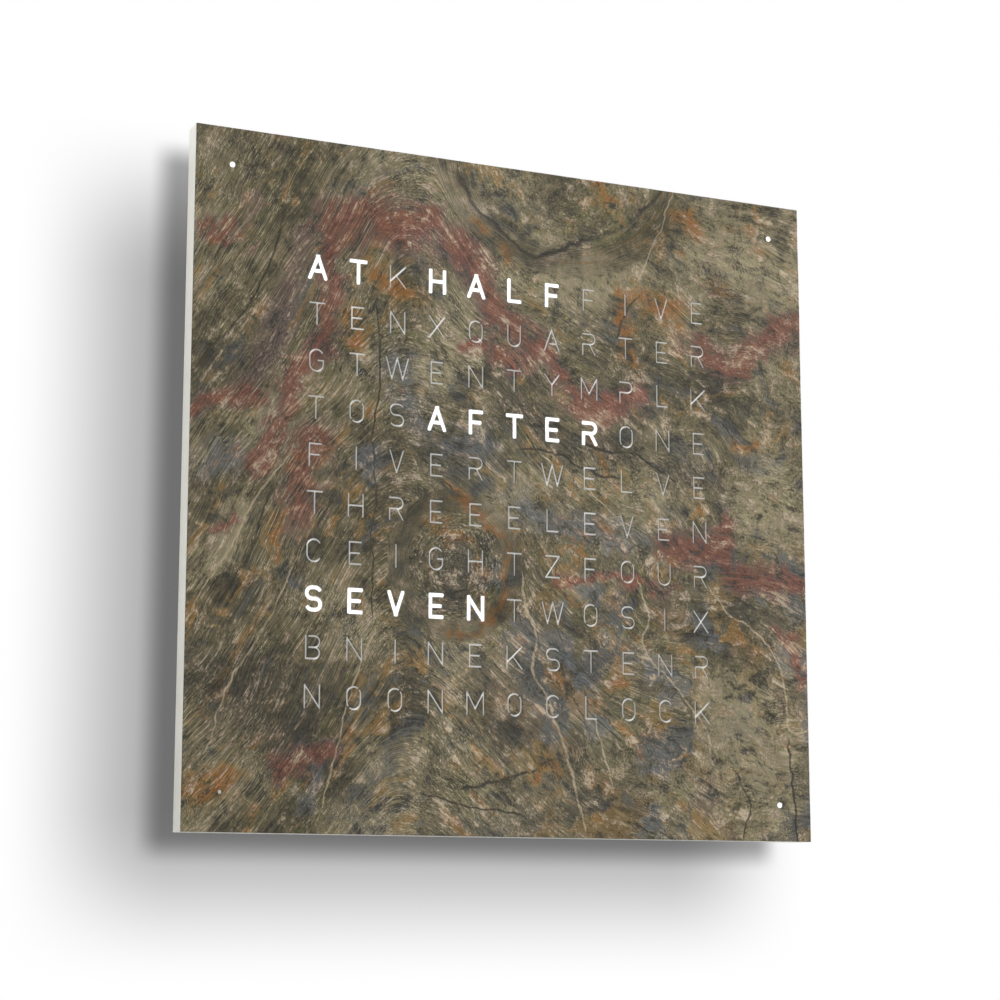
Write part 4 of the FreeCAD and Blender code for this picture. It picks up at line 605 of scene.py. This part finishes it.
basinRing = (70, 455, 165, 130)  # middle and half sizes in mm of the round hollow at the top edge
knotRing = (-85, -100, 84, 88)  # the same for the round fold left of the middle


def ringAt(x, z, ring):  # 0 in the middle of a ring and 1 on it
    middleX, middleZ, reachX, reachZ = ring
    return np.hypot((x - middleX) / reachX, (z - middleZ) / reachZ)


def slopeOf(x):  # how steeply the layers fall: they climb up to x -165, fall after it and ease off past x 130
    return -1.6 + 2.5 / (1 + np.exp(-(x + 165) / 22)) - 0.65 / (1 + np.exp(-(x - 130) / 40))


def flowOf(x, z):  # the grain of the stone: first number across the layers, second along them
    table = np.linspace(-470, 470, 941)
    height = np.interp(x, table, np.cumsum(slopeOf(table)))
    wave = noiseAt(x, z, 170, 3, 2) * 24 + noiseAt(x, z, 55, 7, 2) * 4
    across = z + height + wave
    along = x + noiseAt(x, z, 120, 11) * 30
    for ring in (basinRing, knotRing):
        middleX, middleZ, reachX, reachZ = ring
        out = ringAt(x, z, ring)
        pull = np.clip((1.15 - out) / 0.35, 0, 1)
        pull = pull * pull * (3 - 2 * pull)
        acrossRing = out * (reachX + reachZ) / 2 + wave * 0.6
        alongRing = np.arctan2(z - middleZ, x - middleX) * reachX * 0.6
        across = across * (1 - pull) + (acrossRing + 300) * pull
        along = along * (1 - pull) + alongRing * pull
    return across, along


def reliefOf(x, z, look):  # how far the surface lies behind the plate's front, 0 to 1
    across, along = flowOf(x, z)
    broad = noiseAt(x, z, 110, 1, 3)
    layer = noiseAt(across, along * 0.3, 24, 5, 4)
    steps = (across + noiseAt(x, z, 60, 9) * 24) / 21
    terrace = steps - np.floor(steps)
    terrace = np.clip(terrace / 0.16, 0, 1) * (1 - 0.85 * terrace)
    small = noiseAt(x, z, 19, 2, 3)
    astray = wandered(np.column_stack([x, z]), look["lineWander"])
    crackSide, crackShow = linesOf(astray, darkCracks)
    crack = np.clip(1 - np.abs(crackSide) / 5, 0, 1) * crackShow
    veinSide, veinShow = linesOf(astray, lightVeins)
    vein = np.clip(1 - np.abs(veinSide) / 6, 0, 1) * veinShow
    edge = 450 - np.maximum(np.abs(x), np.abs(z))
    rim = np.clip(1 - edge / 5, 0, 1) * (0.35 + 0.65 * np.abs(noiseAt(x, z, 12, 4)))
    basin = np.clip((1.02 - ringAt(x, z, basinRing)) / 0.1, 0, 1)
    depth = 0.42 - 0.30 * broad - 0.25 * layer - 0.26 * terrace - 0.16 * small + 0.5 * crack - 0.2 * vein
    return np.clip(depth + 0.35 * rim + 0.16 * basin, 0.0, 1.0)


def cutLines(plate, look):  # outline of the lit letters and dots on the plate's front, as points
    found = points(plate)
    boxes = litBoxes()
    nearFront = look["front"] + look["thickness"] / 4
    spacing = 0.0004
    spots = []
    faceSides = {}
    for face in plate.data.polygons:
        flat = face.normal.y < -0.9
        for key in face.edge_keys:
            faceSides.setdefault(key, []).append(flat)
    for (first, second), sides in faceSides.items():
        start, end = found[first], found[second]
        if len(set(sides)) < 2 or max(start[1], end[1]) > nearFront:
            continue
        middle = (start + end) / 2
        if any(abs(middle[0] - a) < c and abs(middle[2] - b) < d for a, b, c, d in boxes):
            count = max(2, int(np.linalg.norm(end - start) / spacing))
            spots.extend(start + (end - start) * step for step in np.linspace(0, 1, count))
    tree = KDTree(len(spots))
    for number, spot in enumerate(spots):
        tree.insert(spot, number)
    tree.balance()
    return tree


def distanceTo(tree, spots, limit):
    far = np.full(len(spots), limit)
    for middleX, middleZ, reachX, reachZ in litBoxes():
        here = np.abs(spots[:, 0] - middleX) < reachX + limit
        here &= np.abs(spots[:, 2] - middleZ) < reachZ + limit
        for number in np.nonzero(here)[0]:
            far[number] = min(limit, tree.find(spots[number])[2])
    return far


def makeStone(look):
    cutter = nodes["stone_front"].copy()  # outline, letters and dots of the plate, made longer through it
    cutter.data = nodes["stone_front"].data.copy()
    cutter.parent = None
    bpy.context.collection.objects.link(cutter)
    pick(cutter)
    bpy.ops.object.mode_set(mode="EDIT")
    bpy.ops.mesh.select_all(action="SELECT")
    bpy.ops.mesh.remove_doubles(threshold=0.000001)
    bpy.ops.object.mode_set(mode="OBJECT")
    tree = cutLines(cutter, look)
    core = look["front"] + look["thickness"] / 2
    for corner in cutter.data.vertices:
        corner.co.y = core + (corner.co.y - core) * look["cutLonger"]

    deselectAll()
    bpy.ops.mesh.primitive_grid_add(x_subdivisions=look["gridLines"], y_subdivisions=look["gridLines"],
                                    size=look["side"], location=(0, look["front"], 0),
                                    rotation=(math.pi / 2, 0, 0))
    slab = bpy.context.object
    slab.name = "cleft_stone"
    settle(slab)
    bpy.context.tool_settings.mesh_select_mode = (False, False, True)
    centres = np.array([face.center for face in slab.data.polygons])
    close = distanceTo(tree, centres, look["fineReach"]) < look["fineReach"]
    for kept in (slab.data.vertices, slab.data.edges):
        kept.foreach_set("select", np.zeros(len(kept), bool))
    slab.data.polygons.foreach_set("select", close)
    bpy.ops.object.mode_set(mode="EDIT")
    bpy.ops.mesh.subdivide(number_cuts=3)
    bpy.ops.mesh.select_all(action="SELECT")
    bpy.ops.mesh.extrude_region_move(TRANSFORM_OT_translate={"value": (0, look["thickness"], 0)})
    bpy.ops.mesh.dissolve_faces()
    bpy.ops.mesh.select_all(action="SELECT")
    bpy.ops.mesh.normals_make_consistent(inside=False)
    bpy.ops.object.mode_set(mode="OBJECT")
    spots = points(slab)
    front = spots[:, 1] < look["front"] + look["thickness"] / 4
    spots[front, 1] += reliefOf(spots[front, 0] * 1000, spots[front, 2] * 1000, look) * look["deepest"]
    slab.data.vertices.foreach_set("co", spots.ravel())
    slab.data.update()

    cut = slab.modifiers.new("letters", "BOOLEAN")
    cut.operation = "INTERSECT"
    cut.solver = "MANIFOLD"
    cut.object = cutter
    pick(slab)
    bpy.ops.object.modifier_apply(modifier=cut.name)
    bpy.data.objects.remove(cutter)
    bpy.ops.object.shade_smooth_by_angle(angle=math.radians(look["smoothAngle"]))

    spots = points(slab)
    flat = spots[:, (0, 2)] * 1000
    across, along = flowOf(flat[:, 0], flat[:, 1])
    grain = np.column_stack([across, along, spots[:, 1] * 1000]) / 1000
    astray = wandered(flat, look["stainWander"])
    values = {name: stainOf(astray, lines) for name, lines in stains.items()}
    onFront = spots * (1, 0, 1) + (0, look["front"], 0)
    values["litEdge"] = distanceTo(tree, onFront, look["glowReach"]) * 1000
    nearly = wandered(flat, look["lineWander"])
    values["veinSide"], values["veinShow"] = linesOf(nearly, lightVeins)
    values["crackSide"], values["crackShow"] = linesOf(nearly, darkCracks)
    for name, found in values.items():
        slab.data.attributes.new(name, "FLOAT", "POINT").data.foreach_set("value", found.astype(np.float32))
    slab.data.attributes.new("grain", "FLOAT_VECTOR", "POINT").data.foreach_set("vector", grain.ravel())
    triangles = sum(len(face.vertices) - 2 for face in slab.data.polygons)
    print("stone:", len(slab.data.vertices), "points,", triangles, "triangles")
    return slab


stoneColours = {
    "layers": [(0.0, (66, 61, 46)), (0.28, (93, 87, 66)), (0.5, (117, 109, 84)), (0.7, (139, 130, 102)),
               (1.0, (178, 167, 138))],
    "red": (130, 82, 64),
    "pink": (166, 124, 108),
    "orange": (164, 106, 60),
    "ochre": (164, 132, 82),
    "blue": (104, 109, 113),
    "moss": (99, 98, 62),
    "plum": (122, 100, 96),
    "dark": (70, 67, 57),
    "pale": (166, 156, 126),
    "vein": (204, 188, 160),
    # the next colour is a painted highlight on the relief's ridges and fibre crests; crack also paints shade
    # in hollows and on ledge faces
    "paintedHighlight": (220, 209, 184),
    "crack": (40, 36, 29),
}
slabScale = 22
# the stain, its colour, where it starts and is full, and its most; later ones lie on earlier ones
stainLayers = [
    ("paleStain", "pale", -0.4, 1.0, 0.75),
    ("darkStain", "dark", -0.3, 1.4, 0.65),
    ("blueStain", "blue", -0.3, 1.2, 0.85),
    ("orangeStain", "ochre", -1.0, 0.7, 0.5),
    ("orangeStain", "orange", -0.2, 1.3, 0.8),
    ("redStain", "plum", -1.0, 0.1, 0.6),
    ("plumStain", "plum", -0.6, 0.9, 0.6),
    ("redStain", "red", -0.6, 0.8, 0.8),
    ("redStain", "pink", 0.3, 1.7, 0.75),
]


def stoneFinish(name, colours):
    recipe = Recipe(name)
    place = recipe.place
    x, y, z = recipe.apart(place)
    flow = recipe.attribute("grain", "Vector")
    across = recipe.apart(flow)[0]
    streak = recipe.noise(recipe.stretch(flow, (85, 27, 30)), 1, 6, 0.7, 0.3)
    fibre = recipe.noise(recipe.stretch(flow, (460, 95, 150)), 1, 3, 0.7)
    cloud = recipe.noise(place, 8, 4, 0.6)
    patch = recipe.noise(place, 30, 7, 0.72, 0.5)
    grit = recipe.noise(recipe.stretch(flow, (340, 250, 260)), 1, 4, 0.78)
    grainShow = x.rise(0.1, -0.2, 0.3, 1.0)
    bend = (cloud - 0.5) * 6 + (patch - 0.5) * 3.2
    step = (across * 34 + bend).work("FRACT")
    ledgeShow = recipe.noise(recipe.stretch(flow, (16, 7, 10)), 1, 2).rise(0.44, 0.58)
    ledge = step.rise(0.0, 0.13) * (1 - step)
    # lip marks the steep rising face of each ledge, where shade is painted
    lip = step.rise(0.12, 0.02) * step.rise(0.0, 0.02) * ledgeShow
    fold = (across * 105 + bend * 1.6).work("FRACT")
    foldShow = (recipe.attribute("darkStain") + (streak - 0.5) * 4).rise(-0.5, 0.5)
    crease = fold.rise(0.55, 0.8) * fold.rise(1.0, 0.85) * foldShow

    body = ((cloud - 0.5) * 2.2 + (patch - 0.5) * 1.3 + (streak - 0.5) * 0.7 + (fibre - 0.5) * grainShow * 0.9
            + (grit - 0.5) * 1.2 + 0.5)
    base = recipe.node("ShaderNodeValToRGB", {"stops": colours["layers"]}, {0: body}, "Color")
    ragged = (streak - 0.5) * 4.2 + (patch - 0.5) * 4.5 + (grit - 0.5) * 1.2

    drift = recipe.noise(recipe.stretch(flow, (15, 8, 10)), 1, 5, 0.65, 0.5)
    other = recipe.noise(recipe.stretch(flow, (24, 13, 10)), 1, 5, 0.65, 0.5)
    base = recipe.blend((drift + (patch - 0.5) * 0.8).rise(0.52, 0.64) * 0.6, base, colours["moss"])
    base = recipe.blend((drift + (patch - 0.5) * 0.8).rise(0.44, 0.32) * 0.45, base, colours["blue"])
    base = recipe.blend((other + (patch - 0.5) * 0.8).rise(0.56, 0.68) * 0.55, base, colours["ochre"])
    shift = recipe.node("ShaderNodeCombineXYZ", None, {0: patch * 0.12, 1: 0.0, 2: streak * 0.08})
    bent = recipe.node("ShaderNodeVectorMath", {"operation": "ADD"}, {0: place, 1: shift})
    corner = (x + (drift - 0.5) * 0.6).rise(-0.12, 0.08) * (z + (other - 0.5) * 0.6).rise(0.02, -0.14)
    slabs = recipe.apart(recipe.cells(bent, slabScale, "F1", "Color"))
    for slab, colour, most in zip(slabs, ("blue", "ochre", "dark"), (0.6, 0.4, 0.4)):
        share = (slab + (patch - 0.5) * 1.6).rise(0.55, 0.75) * corner * most
        base = recipe.blend(share, base, colours[colour])
    for stain, colour, start, end, most in stainLayers:
        share = (recipe.attribute(stain) + ragged).rise(start, end, 0.0, most)
        base = recipe.blend(share, base, colours[colour])
    rust = (other * 0.5 + patch * 0.7 + (drift - 0.5) * 0.4).rise(0.66, 0.78)
    base = recipe.blend(rust * 0.42, base, colours["orange"])

    # painted shade and highlight: hollows of the bump relief are darkened towards the crack colour and its
    # ridges lightened, as light falls on the relief
    paintedRelief = (streak - 0.5) * 1.5 + (patch - 0.5) * 2.1 + (fibre - 0.5) * grainShow * 0.8 + (grit - 0.5) * 1.2
    base = recipe.blend(paintedRelief.rise(-0.03, -0.42, 0.0, 0.75), base, colours["crack"])
    base = recipe.blend(paintedRelief.rise(0.1, 0.5, 0.0, 0.8), base, colours["paintedHighlight"])
    # painted shade on the ledges' steep faces
    base = recipe.blend(lip * 0.7, base, colours["crack"])
    base = recipe.blend(crease * 0.7, base, colours["crack"])
    # painted highlight on the crests of the fibre ridges at the left
    crestShow = (cloud + (drift - 0.5)).rise(0.42, 0.6)
    crestHighlight = (fibre + (grit - 0.5) * 0.6).rise(0.56, 0.68) * grainShow * crestShow
    base = recipe.blend(crestHighlight * 0.75, base, colours["paintedHighlight"])

    warp = (patch - 0.5) * 9.0 + (grit - 0.5) * 2.4
    veinGap = abs(recipe.attribute("veinSide") + warp)
    veinBreaks = (streak + grit).rise(0.85, 1.05, 0.35, 1.0)
    vein = veinGap.rise(2.4, 0.6) * recipe.attribute("veinShow") * veinBreaks
    crackGap = abs(recipe.attribute("crackSide") + warp)
    crackBreaks = (streak + cloud).rise(0.85, 1.05, 0.4, 1.0)
    crack = crackGap.rise(2.8, 0.6) * recipe.attribute("crackShow") * crackBreaks
    web = (recipe.cells(bent, slabScale, "DISTANCE_TO_EDGE").rise(0.032, 0.006)
           * (cloud + x * 0.25 - z * 0.2).rise(0.5, 0.62) * grit.rise(0.35, 0.6))
    base = recipe.blend((vein * 0.8).above(web * 0.7), base, colours["vein"])
    base = recipe.blend(crack * 0.85, base, colours["crack"])

    clearer = {"Saturation": 1.12, "Value": 1.39, "Color": base}
    base = recipe.node("ShaderNodeHueSaturation", None, clearer, "Color")
    # painted glow: near the lit letters the stone turns white and emits, as if lit by the letters, though it
    # is no lamp
    glow = recipe.attribute("litEdge").rise(2.1, 0.0)
    base = recipe.blend(glow, base, white)
    height = (streak * 1.9 + patch * 3.0 + fibre * grainShow * 0.6 + grit * 0.55 + ledge * ledgeShow * 0.55
              + fold * foldShow * 0.16 + vein * 0.1 - crack * 0.3)
    return recipe.done(recipe.surface({
        "Base Color": base,
        "Roughness": 0.52 + (grit - 0.5) * 0.5,
        "Specular IOR Level": 0.4,
        "Emission Color": recipe.blend(glow, black, white),
        "Emission Strength": 1.0,
        "Normal": recipe.bump(height, 0.012),
    }))


stone = makeStone(stoneLook)
stone.data.materials.clear()
stone.data.materials.append(stoneFinish("stoneFinish", stoneColours))
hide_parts("stone_front")
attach(stone, "front_cover")
print("stone front made")


# the wall, plain white as the ground, with a painted soft shadow left of and below the clock
wallLook = {
    "side": 9.0,
    "hole": 0.89,
    "gap": 0.001,
    # left, right, low and high edge in metres, the edges' softness, and the share of light taken
    "nearShadow": (-0.483, 0.400, -0.472, 0.417, 0.021, 0.335),
    "farShadow": (-0.560, 0.350, -0.525, 0.350, 0.115, 0.345),
    "floorHeight": -1.5,
}


def mattPaint(recipe, scale):
    grain = recipe.noise(recipe.place, scale, 3)
    colour = recipe.blend(grain.rise(0.3, 0.7), (236, 236, 236), (228, 228, 228))
    return recipe.node("ShaderNodeBsdfDiffuse", None, {"Color": colour})


def oneSided(recipe, matt, colour):  # seen from its front only, so that the clock's back stays in view
    shown = recipe.node("ShaderNodeEmission", None, {"Color": colour, "Strength": 1.0})
    front = recipe.node("ShaderNodeMixShader", None, {0: recipe.seen(), 1: matt, 2: shown})
    back = recipe.node("ShaderNodeBsdfTransparent")
    behind = recipe.node("ShaderNodeNewGeometry", None, None, "Backfacing")
    return recipe.done(recipe.node("ShaderNodeMixShader", None, {0: behind, 1: front, 2: back}))


def wallFinish(name, look):
    recipe = Recipe(name)
    x, y, z = recipe.apart(recipe.place)

    def lightPast(left, right, low, high, soft, taken):
        inside = (x.rise(left - soft, left + soft) * x.rise(right + soft, right - soft)
                  * z.rise(low - soft, low + soft) * z.rise(high + soft, high - soft))
        return 1 - inside * taken

    # painted shadow: the wall's colour dims inside two soft boxes left of and below the clock, not a shadow
    # cast by the lamps
    light = (lightPast(*look["nearShadow"]) * lightPast(*look["farShadow"])) ** 2.2
    return oneSided(recipe, mattPaint(recipe, 300), recipe.blend(light, black, white))


def floorFinish(name):
    recipe = Recipe(name)
    return oneSided(recipe, mattPaint(recipe, 120), tone(white))


def makeStage(look):
    deselectAll()
    bpy.ops.mesh.primitive_plane_add(size=look["side"], location=(0, look["gap"], 0),
                                     rotation=(math.pi / 2, 0, 0))
    wall = bpy.context.object
    wall.name = "wall"
    settle(wall)
    bpy.ops.object.mode_set(mode="EDIT")
    bpy.ops.mesh.select_all(action="SELECT")
    bpy.ops.mesh.inset(thickness=(look["side"] - look["hole"]) / 2)
    bpy.ops.mesh.delete(type="FACE")
    bpy.ops.object.mode_set(mode="OBJECT")
    wall.data.materials.append(wallFinish("wallFinish", look))
    deselectAll()
    bpy.ops.mesh.primitive_plane_add(size=look["side"], location=(0, -look["side"] / 2, look["floorHeight"]))
    floor = bpy.context.object
    floor.name = "floor"
    settle(floor)
    floor.data.materials.append(floorFinish("floorFinish"))


makeStage(wallLook)
print("wall and floor made")


# light and camera
lightLook = {
    "world": 0.44,
    "key": (2.35, (0.68, -0.46, 0.58), 8),  # strength, where it comes from, softness in degrees
    "fill": (1.45, (-0.93, -0.25, -0.25), 30),
    "back": (1.35, (0.2, 0.95, 0.25), 30),
}
cameraLook = {
    "lens": 85.68,
    "sensor": 36,
    "place": (-1.3351, -2.8375, -0.5580),
    "tilt": 90 + 10.052,
    "turn": -25.083,
}


def makeLight(look):
    recipe = Recipe("studio", world=True)
    plain = recipe.node("ShaderNodeBackground", None, {"Color": tone(white), "Strength": look["world"]})
    shown = recipe.node("ShaderNodeBackground", None, {"Color": tone(white), "Strength": 1.0})
    mixed = recipe.node("ShaderNodeMixShader", None, {0: recipe.seen(), 1: plain, 2: shown})
    bpy.context.scene.world = recipe.done(mixed)
    for name in ("key", "fill", "back"):
        strength, source, softness = look[name]
        bpy.ops.object.light_add(type="SUN", location=source)
        lamp = bpy.context.object
        lamp.name = name + "Lamp"
        lamp.rotation_euler = Vector(source).to_track_quat("Z", "Y").to_euler()
        lamp.data.energy = strength
        lamp.data.angle = math.radians(softness)


def makeCamera(look):
    turn = (math.radians(look["tilt"]), 0, math.radians(look["turn"]))
    bpy.ops.object.camera_add(location=look["place"], rotation=turn)
    camera = bpy.context.object
    camera.data.lens = look["lens"]
    camera.data.sensor_width = look["sensor"]
    bpy.context.scene.camera = camera


makeLight(lightLook)
makeCamera(cameraLook)
bpy.context.scene.view_settings.view_transform = "Standard"
print("light and camera set")
